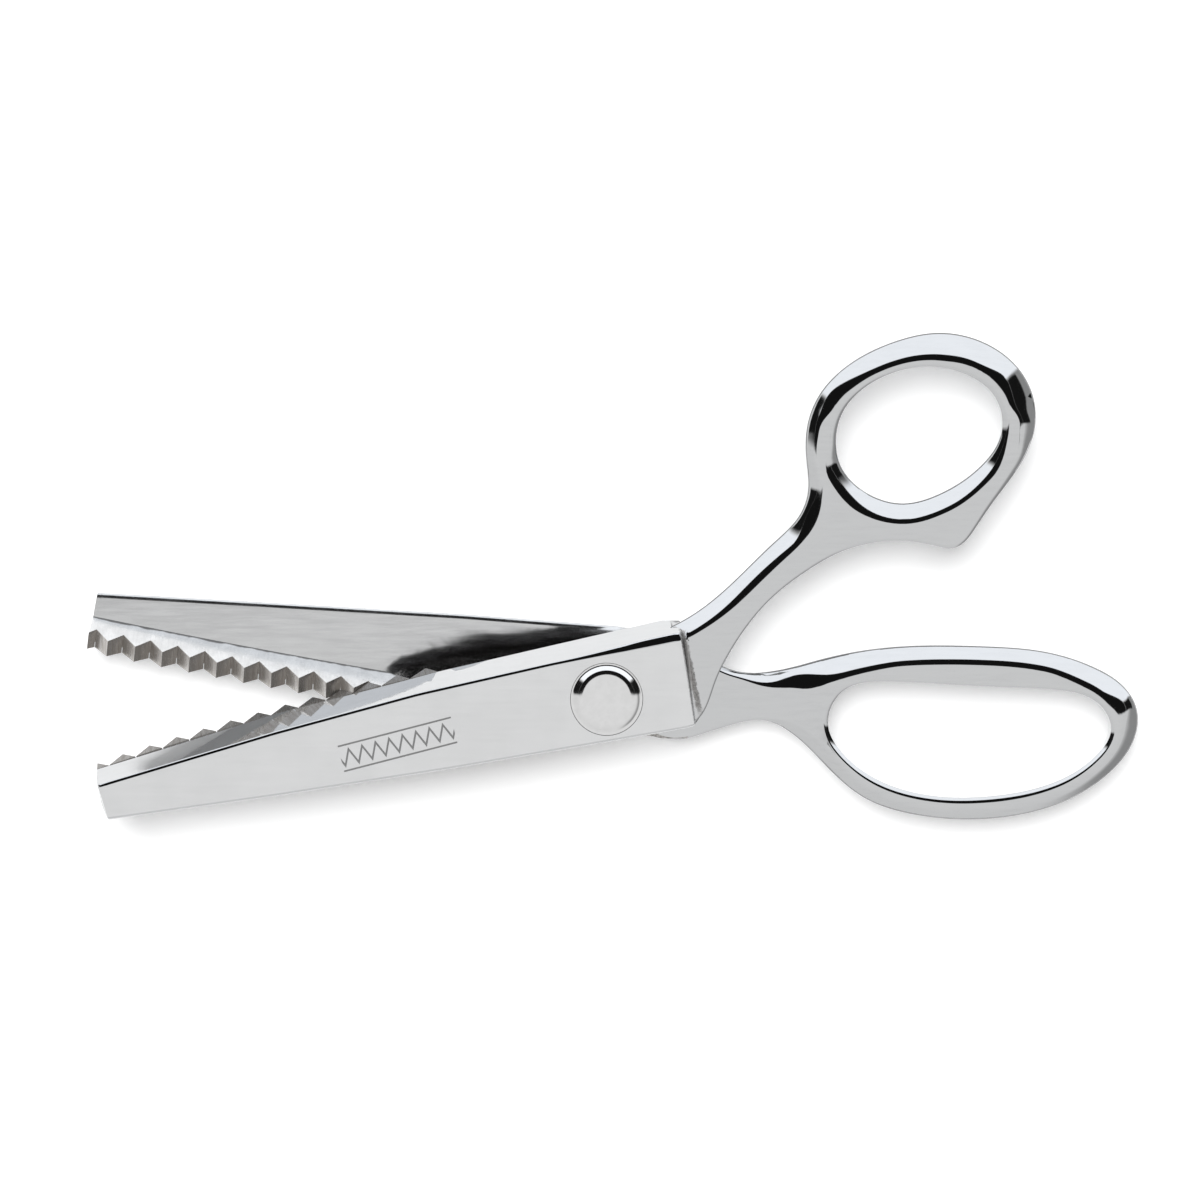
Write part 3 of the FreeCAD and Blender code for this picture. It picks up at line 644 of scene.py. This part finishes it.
def give_finishes(obj, finishes, finish=None):
    """Adds all finishes to a piece and, where one is named, gives it to every face."""
    for material in finishes:
        obj.data.materials.append(material)
    if finish is not None:
        obj.data.polygons.foreach_set("material_index", [finish] * len(obj.data.polygons))


def make_half(name, half, outline, hole, levels, bore, finishes):
    """One forging: the blade with its boss joined to the handle, then bored for the pivot."""
    obj = make_blade(name, half)
    handle = make_handle(name + "_handle", outline, hole, levels)
    give_finishes(obj, finishes)
    give_finishes(handle, finishes, HANDLE)
    combine(obj, handle, "UNION")
    cutter = lathe(name + "_cutter", bore, BORE_SEGMENTS)
    give_finishes(cutter, finishes, HOLLOW)
    combine(obj, cutter, "DIFFERENCE")
    finish_surface(obj)
    return obj


# ---- material helpers ----

def node(tree, kind, inputs=None, **settings):
    """A shader node; inputs are sockets to link from or plain values."""
    made = tree.nodes.new(kind)
    for key, value in settings.items():
        setattr(made, key, value)
    for key, value in (inputs or {}).items():
        if isinstance(value, bpy.types.NodeSocket):
            tree.links.new(value, made.inputs[key])
        else:
            made.inputs[key].default_value = value
    return made


def maths(tree, operation, a, b=0.0):
    """The output of a Math node."""
    return node(tree, "ShaderNodeMath", {0: a, 1: b}, operation=operation).outputs[0]


def ease(tree, value, low, high, start=0.0, end=1.0):
    """start below low, end above high and an even curve between."""
    inputs = {"Value": value, "From Min": low, "From Max": high, "To Min": start, "To Max": end}
    return node(tree, "ShaderNodeMapRange", inputs, interpolation_type="SMOOTHSTEP").outputs[0]


def between(tree, value, low, high, soft):
    """1 from low to high, fading to 0 over soft on each side."""
    return maths(tree, "MULTIPLY", ease(tree, value, low - soft, low + soft),
                 ease(tree, value, high - soft, high + soft, 1.0, 0.0))


def blend_colour(tree, share, a, b):
    """Colour a where share is 0 and b where it is 1."""
    made = node(tree, "ShaderNodeMix", {0: share, 6: a, 7: b}, data_type="RGBA")
    return made.outputs[2]


def grey(level, warm=0.0):
    """A grey, warmer where warm is above 0 and cooler where it is below."""
    return (level * (1.0 + warm), level, level * (1.0 - warm), 1.0)


def millimetres(tree):
    """Place on the piece in millimetres about the pivot axis."""
    place = node(tree, "ShaderNodeTexCoord").outputs["Object"]
    moved = node(tree, "ShaderNodeVectorMath", {0: place, 1: (PIVOT[0], PIVOT[1], 0.0)},
                 operation="SUBTRACT")
    return node(tree, "ShaderNodeVectorMath", {0: moved.outputs[0], "Scale": 1.0 / MM},
                operation="SCALE").outputs[0]


def noise(tree, place, scale, detail=3.0, stretch=(1.0, 1.0, 1.0), turn=0.0):
    """Noise over the piece; scale is features per millimetre."""
    turned = node(tree, "ShaderNodeMapping", {0: place, "Rotation": (0.0, 0.0, turn), "Scale": stretch})
    inputs = {"Vector": turned.outputs[0], "Scale": scale, "Detail": detail, "Roughness": 0.6}
    return node(tree, "ShaderNodeTexNoise", inputs).outputs["Fac"]


def start_metal(name):
    """A new metal: its material, node tree, shader and the place on the piece in millimetres."""
    material = bpy.data.materials.new(name)
    material.use_nodes = True
    tree = material.node_tree
    shader = tree.nodes["Principled BSDF"]
    shader.inputs["Metallic"].default_value = 1.0
    return material, tree, shader, millimetres(tree)


def set_metal(tree, shader, colour, roughness, height, depth):
    """Links a metal's colour and roughness, and a relief of the given depth in millimetres."""
    tree.links.new(colour, shader.inputs["Base Color"])
    tree.links.new(roughness, shader.inputs["Roughness"])
    bump = node(tree, "ShaderNodeBump", {"Height": height, "Strength": 1.0, "Distance": depth * MM})
    tree.links.new(bump.outputs[0], shader.inputs["Normal"])


# ---- materials ----

# The shoulder's rough band: a point of its line and how far the line leans, the raggedness of its sides,
# its span across the line and along Y, and the height above which it shows.
BAND_X, BAND_Y, BAND_LEAN = 13.3, 12.5, 0.221
BAND_RAGGED = 0.9
BAND_ACROSS = (0.2, 1.15)
BAND_ALONG = (-2.2, 13.0)
BAND_HEIGHT = (10.3, 10.7)
# The painted dark line at steep turns, painted shade in place of the reflected horizon and shaded table:
# where it ends downwards, as the upward part of the normal, its softness, its strength and its grey.
RIM_FROM = 0.16
RIM_SOFT = 0.05
RIM_SHARE = 0.88
RIM_GREY = 0.04
# Upward part of the normal where the painted dark line ends upwards, on the bevels and on the handles.
BEVEL_RIM = 0.38
HANDLE_RIM = 0.66
# The ornament: its middle, its turn in degrees, half its length where its ends fade, and the height above
# which it shows.
ORNAMENT_MIDDLE = (-37.6, -8.1, 0.0)
ORNAMENT_TURN = -14.5
ORNAMENT_END = (10.4, 10.6)
ORNAMENT_HEIGHT = (10.0, 10.5)
# Its zigzag: the width of a stroke up or down, and its steepness. The shift keeps its input above 0.
STROKE = 1.25
STEEPNESS = 2.2
ORNAMENT_SHIFT = 40.0
# Half widths of its lines, from full to none, and the distance of its two rules from the middle.
ZIGZAG_LINE = (0.30, 0.50)
RULE_LINE = (0.10, 0.20)
RULE_AT = 2.3
# Brightness of the light that the table top gives off.
TABLE_GLOW = 0.26


def shoulder_band(tree, place):
    """Mask of the rough band left beside the step between the front boss and the thumb shank."""
    x, y, z = node(tree, "ShaderNodeSeparateXYZ", {0: place}).outputs
    lean = maths(tree, "MULTIPLY", maths(tree, "SUBTRACT", BAND_Y, y), BAND_LEAN)
    line = maths(tree, "ADD", BAND_X, lean)
    ragged = maths(tree, "MULTIPLY", noise(tree, place, 1.3, 4.0), BAND_RAGGED)
    past = maths(tree, "ADD", maths(tree, "SUBTRACT", x, line), ragged)
    across = between(tree, past, *BAND_ACROSS, 0.22)
    ends = between(tree, y, *BAND_ALONG, 1.6)
    high = ease(tree, z, *BAND_HEIGHT)
    return maths(tree, "MULTIPLY", maths(tree, "MULTIPLY", across, ends), high)


def painted_rim_shade(tree, colour, widest):
    """A metal's colour with painted shade: a dark line along the steep turn at an edge, in place of the
    reflected dark horizon and shaded table.

    widest is the upward part of the normal at the line's upper side.
    """
    towards = node(tree, "ShaderNodeTexCoord").outputs["Normal"]
    up = node(tree, "ShaderNodeSeparateXYZ", {0: towards}).outputs[2]
    line = maths(tree, "MULTIPLY", between(tree, up, RIM_FROM, widest, RIM_SOFT), RIM_SHARE)
    return blend_colour(tree, line, colour, grey(RIM_GREY))


def polished_metal(name, widest):
    """Polished chrome with faint wipe marks, pits and waviness, and a painted dark line of shade at steep
    edges; widest is that of painted_rim_shade.
    """
    material, tree, shader, place = start_metal(name)
    light, dark = grey(0.58, -0.01), grey(0.555, -0.01)
    streaks = noise(tree, place, 1.1, 4.0, (0.12, 1.0, 1.0), 0.3)
    cloud = noise(tree, place, 0.16, 2.0)
    speck = ease(tree, noise(tree, place, 2.6, 1.0), 0.70, 0.78)
    mottle = maths(tree, "MULTIPLY", ease(tree, streaks, 0.3, 0.75),
                   ease(tree, cloud, 0.25, 0.75, 0.4, 1.0))
    colour = blend_colour(tree, mottle, light, dark)
    colour = blend_colour(tree, maths(tree, "MULTIPLY", speck, 0.35), colour, dark)
    band = shoulder_band(tree, place)
    grain = noise(tree, place, 3.0, 4.0)
    rough = blend_colour(tree, ease(tree, grain, 0.3, 0.7), grey(0.42, 0.03), grey(0.16, 0.05))
    colour = blend_colour(tree, maths(tree, "MULTIPLY", band, 0.85), colour, rough)
    # Painted shade: a dark line at steep edges in place of reflected shade.
    colour = painted_rim_shade(tree, colour, widest)
    roughness = maths(tree, "ADD", ease(tree, streaks, 0.25, 0.8, 0.035, 0.07),
                      maths(tree, "MULTIPLY", band, 0.35))
    height = maths(tree, "ADD", noise(tree, place, 0.22, 2.0), maths(tree, "MULTIPLY", streaks, 0.06))
    pitted = maths(tree, "MULTIPLY", maths(tree, "MULTIPLY", band, grain), 4.0)
    height = maths(tree, "ADD", height, pitted)
    set_metal(tree, shader, colour, roughness, height, 0.010)
    return material


def turned_metal(name, light, dark, low, high, lines=2.2):
    """A metal with fine turning rings about the pivot axis.

    light and dark are its colours, low and high its least and most roughness, lines how fine its rings are.
    """
    material, tree, shader, place = start_metal(name)
    flat = node(tree, "ShaderNodeVectorMath", {0: place, 1: (1.0, 1.0, 0.0)}, operation="MULTIPLY")
    reach = node(tree, "ShaderNodeVectorMath", {0: flat.outputs[0]}, operation="LENGTH").outputs["Value"]
    rings = node(tree, "ShaderNodeTexNoise", {"W": reach, "Scale": lines, "Detail": 4.0},
                 noise_dimensions="1D").outputs["Fac"]
    mottle = noise(tree, place, 0.7, 3.0)
    colour = blend_colour(tree, ease(tree, mottle, 0.3, 0.7), light, dark)
    roughness = ease(tree, rings, 0.3, 0.7, low, high)
    set_metal(tree, shader, colour, roughness, rings, 0.004)
    return material


def ornament(tree, place):
    """Mask of the etched ornament on the front blade: a row of zigzags between two rules."""
    moved = node(tree, "ShaderNodeVectorMath", {0: place, 1: ORNAMENT_MIDDLE}, operation="SUBTRACT")
    turned = node(tree, "ShaderNodeVectorRotate",
                  {0: moved.outputs[0], "Angle": math.radians(ORNAMENT_TURN)}, rotation_type="Z_AXIS")
    u, v, height = node(tree, "ShaderNodeSeparateXYZ", {0: turned.outputs[0]}).outputs
    fold = maths(tree, "PINGPONG", maths(tree, "ADD", u, ORNAMENT_SHIFT), STROKE)
    wave = maths(tree, "SUBTRACT", fold, STROKE / 2.0)
    zigzag = maths(tree, "ABSOLUTE", maths(tree, "SUBTRACT", v, maths(tree, "MULTIPLY", wave, STEEPNESS)))
    rules = maths(tree, "ABSOLUTE", maths(tree, "SUBTRACT", maths(tree, "ABSOLUTE", v), RULE_AT))
    lines = maths(tree, "MAXIMUM", ease(tree, zigzag, *ZIGZAG_LINE, 1.0, 0.0),
                  ease(tree, rules, *RULE_LINE, 1.0, 0.0))
    ends = ease(tree, maths(tree, "ABSOLUTE", u), *ORNAMENT_END, 1.0, 0.0)
    top = ease(tree, height, *ORNAMENT_HEIGHT)
    return maths(tree, "MULTIPLY", maths(tree, "MULTIPLY", lines, ends), top)


def flat_metal(name):
    """The outer flat of a blade: a little duller than the bevels, with the etched ornament."""
    material, tree, shader, place = start_metal(name)
    streaks = noise(tree, place, 1.4, 4.0, (0.08, 1.0, 1.0), 0.25)
    cloud = noise(tree, place, 0.09, 2.0)
    colour = blend_colour(tree, ease(tree, cloud, 0.3, 0.7), grey(0.71, -0.006), grey(0.68, -0.006))
    etched = ornament(tree, place)
    colour = blend_colour(tree, maths(tree, "MULTIPLY", etched, 0.85), colour, grey(0.26))
    rough = shoulder_band(tree, place)
    colour = blend_colour(tree, maths(tree, "MULTIPLY", rough, 0.8), colour, grey(0.25, 0.04))
    roughness = maths(tree, "ADD", ease(tree, streaks, 0.2, 0.8, 0.10, 0.17),
                      maths(tree, "MULTIPLY", etched, 0.3))
    height = maths(tree, "SUBTRACT", maths(tree, "MULTIPLY", streaks, 0.15),
                   maths(tree, "MULTIPLY", etched, 0.6))
    set_metal(tree, shader, colour, roughness, height, 0.006)
    return material


def hollow_metal(name):
    """The inner face of a blade: a satin hollow, mottled, and painted darker where it rises to the boss, as
    painted shade.
    """
    material, tree, shader, place = start_metal(name)
    z = node(tree, "ShaderNodeSeparateXYZ", {0: place}).outputs[2]
    streaks = noise(tree, place, 1.2, 4.0, (0.1, 1.0, 1.0), -0.05)
    grain = noise(tree, place, 2.2, 5.0)
    away = maths(tree, "ABSOLUTE", maths(tree, "SUBTRACT", z, SHEAR))
    raised = ease(tree, maths(tree, "ADD", away, maths(tree, "MULTIPLY", grain, 0.5)), 3.6, 4.1, 1.0, 0.0)
    colour = blend_colour(tree, ease(tree, streaks, 0.3, 0.7), grey(0.62, -0.006), grey(0.59, -0.006))
    # Painted shade where the face rises to the boss, in place of the dark reflection under the front blade;
    # the colour named scale is this painted shade.
    scale = blend_colour(tree, ease(tree, grain, 0.35, 0.7), grey(0.40, 0.04), grey(0.10, 0.09))
    colour = blend_colour(tree, maths(tree, "MULTIPLY", raised, 0.85), colour, scale)
    roughness = maths(tree, "SUBTRACT", ease(tree, streaks, 0.2, 0.8, 0.16, 0.24),
                      maths(tree, "MULTIPLY", raised, 0.08))
    height = maths(tree, "ADD", maths(tree, "MULTIPLY", streaks, 0.2),
                   maths(tree, "MULTIPLY", raised, grain))
    set_metal(tree, shader, colour, roughness, height, 0.02)
    return material


def ground_metal(name, facing, level):
    """Ground cutter steel: warm grinding lines in the flutes, with painted shade low in them and on flanks
    facing +X, and a lighter ledge towards the spine with painted shade at its root.

    facing is 1 where the spine lies towards +Y and -1 where it lies towards -Y; level scales the flutes'
    greys, painted shade that makes one strip's copy darker.
    """
    material, tree, shader, place = start_metal(name)
    z = node(tree, "ShaderNodeSeparateXYZ", {0: place}).outputs[2]
    towards = node(tree, "ShaderNodeTexCoord").outputs["Normal"]
    right, far = node(tree, "ShaderNodeSeparateXYZ", {0: towards}).outputs[:2]
    ledge = ease(tree, maths(tree, "MULTIPLY", far, facing), 0.45, 0.6)
    lines = noise(tree, place, 2.0, 5.0, (1.6, 0.12, 0.2), 0.12)
    cloud = noise(tree, place, 0.35, 3.0)
    away = maths(tree, "ABSOLUTE", maths(tree, "SUBTRACT", z, SHEAR))
    flute = blend_colour(tree, ease(tree, lines, 0.3, 0.7), grey(0.74 * level, 0.02),
                         grey(0.50 * level, 0.06))
    # Painted shade low in the flutes, in place of the dark reflection there.
    painted_low_shade = ease(tree, maths(tree, "ADD", away, maths(tree, "MULTIPLY", cloud, 0.8)), 2.5, 2.9, 0.0, 0.55)
    flute = blend_colour(tree, painted_low_shade, flute, grey(0.17 * level, 0.12))
    # Painted shade on the flanks that face +X.
    painted_side_shade = ease(tree, right, -0.3, 0.3, 0.0, 0.65)
    flute = blend_colour(tree, painted_side_shade, flute, grey(0.15 * level, 0.12))
    # Painted shade in the corner at the root of the ledge.
    painted_root_shade = ease(tree, maths(tree, "ADD", away, maths(tree, "MULTIPLY", cloud, 0.9)), 3.85, 4.15)
    shelf = blend_colour(tree, ease(tree, cloud, 0.35, 0.65), grey(0.68, -0.01), grey(0.60, -0.01))
    shelf = blend_colour(tree, maths(tree, "MULTIPLY", painted_root_shade, 0.8), shelf, grey(0.05, 0.1))
    colour = blend_colour(tree, ledge, flute, shelf)
    roughness = maths(tree, "SUBTRACT", ease(tree, lines, 0.3, 0.7, 0.22, 0.34),
                      maths(tree, "MULTIPLY", ledge, 0.10))
    set_metal(tree, shader, colour, roughness, lines, 0.008)
    return material


def paper(name):
    """The white table top, lit faintly from below as a light table is."""
    material = bpy.data.materials.new(name)
    material.use_nodes = True
    tree = material.node_tree
    shader = tree.nodes["Principled BSDF"]
    colour = blend_colour(tree, noise(tree, millimetres(tree), 0.02), grey(0.86), grey(0.85))
    tree.links.new(colour, shader.inputs["Base Color"])
    shader.inputs["Roughness"].default_value = 1.0
    shader.inputs["Specular IOR Level"].default_value = 0.0
    shader.inputs["Emission Color"].default_value = grey(1.0)
    shader.inputs["Emission Strength"].default_value = TABLE_GLOW
    return material


# ---- pieces ----

# Corners, as (distance from the axis, height), of the bolt and of the bores in the two halves.
BOLT_PROFILE = [
    (0.0, 12.44), (2.5, 12.44), (4.2, 12.436), (4.5, 12.42), (4.75, 12.385), (5.0, 12.327), (5.2, 12.262),
    (5.4, 12.173), (5.6, 12.067), (5.8, 11.942), (5.95, 11.829), (6.02, 11.80), (6.3, 11.80), (6.45, 11.79),
    (6.5, 11.74), (6.53, 11.6), (6.53, 9.2), (3.0, 9.2), (3.0, 3.0), (2.5, 3.0), (2.5, 0.75), (2.3, 0.55),
    (0.0, 0.55),
]
FRONT_BORE = [(0.0, 5.0), (7.26, 5.0), (7.26, 7.45), (3.02, 7.45), (3.02, 9.2), (6.56, 9.2), (6.56, 13.0),
              (0.0, 13.0)]
BACK_BORE = [(0.0, -1.0), (6.15, -1.0), (6.15, 0.0), (6.0, 0.15), (6.0, 2.95), (3.9, 2.95), (3.9, 4.55),
             (7.26, 4.55), (7.26, 7.0), (0.0, 7.0)]


def keep_inside(obj, name):
    """Moves the points of a piece that lie outside the box of the sub-part it stands for into that box."""
    low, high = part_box(name)
    for vert in obj.data.vertices:
        vert.co = [min(max(value, a), b) for value, a, b in zip(vert.co, low, high)]


def make_pieces():
    """The forgings and the bolt, each drawn afresh and shown in place of its plain sub-part."""
    finishes = [flat_metal("flat_chrome"), polished_metal("bevel_chrome", BEVEL_RIM),
                hollow_metal("satin_chrome"), polished_metal("handle_chrome", HANDLE_RIM)]
    front = make_half("front_half_forged", FRONT, THUMB_OUTLINE, THUMB_HOLE, thumb_levels, FRONT_BORE,
                      finishes)
    back = make_half("back_half_forged", BACK, FINGER_OUTLINE, FINGER_HOLE, finger_levels, BACK_BORE,
                     finishes)
    bolt = lathe("pivot_bolt_turned", BOLT_PROFILE, BOLT_SEGMENTS)
    bolt.data.materials.append(turned_metal("bolt_chrome", grey(0.71), grey(0.68), 0.05, 0.09, 1.4))
    finish_surface(bolt)
    stands = ((front, "front_half", "front_shear"), (back, "back_half", "back_shear"),
              (bolt, "pivot_bolt", "front_shear"))
    for obj, name, body in stands:
        keep_inside(obj, name)
        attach(obj, body)
        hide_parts(name)


def dress_cad_nodes():
    """Materials of the sub-parts that are shown as they are."""
    bearing = turned_metal("bearing_steel", grey(0.72), grey(0.60), 0.12, 0.22)
    finishes = {
        # The front strip's flutes are a darker copy of the same steel: painted shade.
        "front_toothed_strip": ground_metal("ground_steel_front", -1.0, 0.4),
        "back_toothed_strip": ground_metal("ground_steel_back", 1.0, 1.0),
        "bolt_key_pin": bearing,
        "upper_race": bearing,
        "lower_race": bearing,
        "bearing_balls": bearing,
        "nut_lock_screw": bearing,
        "ball_cage": turned_metal("cage_brass", (0.80, 0.58, 0.26, 1.0), (0.62, 0.42, 0.17, 1.0),
                                  0.22, 0.36),
        "pivot_bush": turned_metal("bush_bronze", (0.62, 0.39, 0.22, 1.0), (0.48, 0.28, 0.15, 1.0),
                                   0.25, 0.4),
        "spring_washer": turned_metal("spring_steel", grey(0.42, 0.03), grey(0.30, 0.03), 0.25, 0.4),
        "pivot_nut": turned_metal("plated_nut", grey(0.80), grey(0.70), 0.14, 0.26),
    }
    for name, material in finishes.items():
        frame["nodes"][name].data.materials.clear()
        frame["nodes"][name].data.materials.append(material)


# ---- stage, light and camera ----

# The table top: its side and how far it lies under the shears, in metres.
TABLE_SIZE = 6.0
TABLE_BELOW = 0.00002
# The studio: patches from one polar angle from overhead to another, where they end as azimuths from the
# far side, in degrees, and their colours. The horizon has the grey of the right side.
GAP_FROM = 9.5
BOX_FROM = 41.0
BOX_TO = 85.0
FLAG_TO = 72.0
HORIZON = (86.0, 94.0)
PATCH_SOFT = 1.2
GAP_END = (79.0, 86.0)
BOX_END = (50.0, 55.0)
FLAG_ENDS = (55.0, 82.0)
GAP_GREY = 0.010
FLAG_GREY = 0.012
SOFTBOX = (1.40, 1.44, 1.50, 1.0)
SIDE_GREY = 0.40
# Share of the surroundings' light that falls on matt surfaces, and the grey that the camera sees.
FILL_LIGHT = 0.47
BACKDROP = 0.98
# The key light: its strength, its width in degrees and the direction it comes from.
KEY_STRENGTH = 3.3
KEY_WIDTH = 50.0
KEY_FROM = (-0.16, 0.42, 1.0)
# The camera: its place over the table, its height over the shear plane and the width of its view there.
CAMERA_PLACE = (-0.00233, -0.00427)
CAMERA_HEIGHT = 0.9
VIEW_WIDTH = 0.2172
SENSOR_WIDTH = 36.0


def make_floor():
    """The white table top."""
    bpy.ops.mesh.primitive_plane_add(size=TABLE_SIZE, location=(0.0, 0.0, -TABLE_BELOW))
    floor = bpy.context.object
    floor.name = "table_top"
    floor.data.materials.append(paper("white_paper"))


def patch(tree, colour, polar, low, high, ends, shown):
    """A colour with a patch laid over it, from low to high degrees from overhead and between its ends."""
    share = maths(tree, "MULTIPLY", between(tree, polar, low, high, PATCH_SOFT), ends)
    return blend_colour(tree, share, colour, shown)


def sky_colour(tree):
    """Colour of the surroundings by direction."""
    direction = node(tree, "ShaderNodeTexCoord").outputs["Generated"]
    x, y, z = node(tree, "ShaderNodeSeparateXYZ", {0: direction}).outputs
    degrees = 180.0 / math.pi
    polar = maths(tree, "MULTIPLY", maths(tree, "ARCCOSINE", z), degrees)
    azimuth = maths(tree, "ABSOLUTE", maths(tree, "MULTIPLY", maths(tree, "ARCTAN2", x, y), degrees))
    right = maths(tree, "MULTIPLY", ease(tree, x, 0.25, 0.7), ease(tree, polar, 50.0, 70.0))
    colour = blend_colour(tree, ease(tree, polar, 10.0, 60.0), grey(0.97), grey(0.92))
    colour = blend_colour(tree, right, colour, grey(SIDE_GREY))
    gap_ends = ease(tree, azimuth, *GAP_END, 1.0, 0.0)
    colour = patch(tree, colour, polar, GAP_FROM, BOX_FROM, gap_ends, grey(GAP_GREY))
    box_ends = ease(tree, azimuth, *BOX_END, 1.0, 0.0)
    colour = patch(tree, colour, polar, BOX_FROM, BOX_TO, box_ends, SOFTBOX)
    flag_ends = between(tree, azimuth, *FLAG_ENDS, 3.0)
    colour = patch(tree, colour, polar, BOX_FROM, FLAG_TO, flag_ends, grey(FLAG_GREY))
    return blend_colour(tree, between(tree, polar, *HORIZON, 1.5), colour, grey(SIDE_GREY))


def make_studio():
    """The world: light grey overhead, and towards the far side a dark gap and then a bright softbox."""
    world = bpy.data.worlds.new("studio")
    bpy.context.scene.world = world
    world.use_nodes = True
    tree = world.node_tree
    tree.nodes.clear()
    rays = node(tree, "ShaderNodeLightPath").outputs
    strength = ease(tree, rays["Is Diffuse Ray"], 0.0, 1.0, 1.0, FILL_LIGHT)
    surroundings = node(tree, "ShaderNodeBackground", {"Color": sky_colour(tree), "Strength": strength})
    backdrop = node(tree, "ShaderNodeBackground", {"Color": grey(BACKDROP)})
    mixed = node(tree, "ShaderNodeMixShader", {0: rays["Is Camera Ray"], 1: surroundings.outputs[0],
                                               2: backdrop.outputs[0]})
    node(tree, "ShaderNodeOutputWorld", {"Surface": mixed.outputs[0]})


def make_key_light():
    """A wide, soft light from the far side that makes the shadows and isn't mirrored."""
    data = bpy.data.lights.new("key", "SUN")
    data.energy = KEY_STRENGTH
    data.angle = math.radians(KEY_WIDTH)
    key = bpy.data.objects.new("key", data)
    key.rotation_mode = "QUATERNION"
    key.rotation_quaternion = Vector(KEY_FROM).to_track_quat("Z", "Y")
    key.visible_glossy = False
    bpy.context.scene.collection.objects.link(key)


def make_camera():
    """Straight above the shears, far enough off for little perspective."""
    data = bpy.data.cameras.new("camera")
    data.sensor_width = SENSOR_WIDTH
    data.lens = SENSOR_WIDTH * CAMERA_HEIGHT / VIEW_WIDTH
    camera = bpy.data.objects.new("camera", data)
    camera.location = (*CAMERA_PLACE, SHEAR * MM + CAMERA_HEIGHT)
    bpy.context.scene.collection.objects.link(camera)
    bpy.context.scene.camera = camera


make_pieces()
dress_cad_nodes()
make_floor()
make_studio()
make_key_light()
make_camera()
bpy.context.scene.view_settings.view_transform = "Standard"
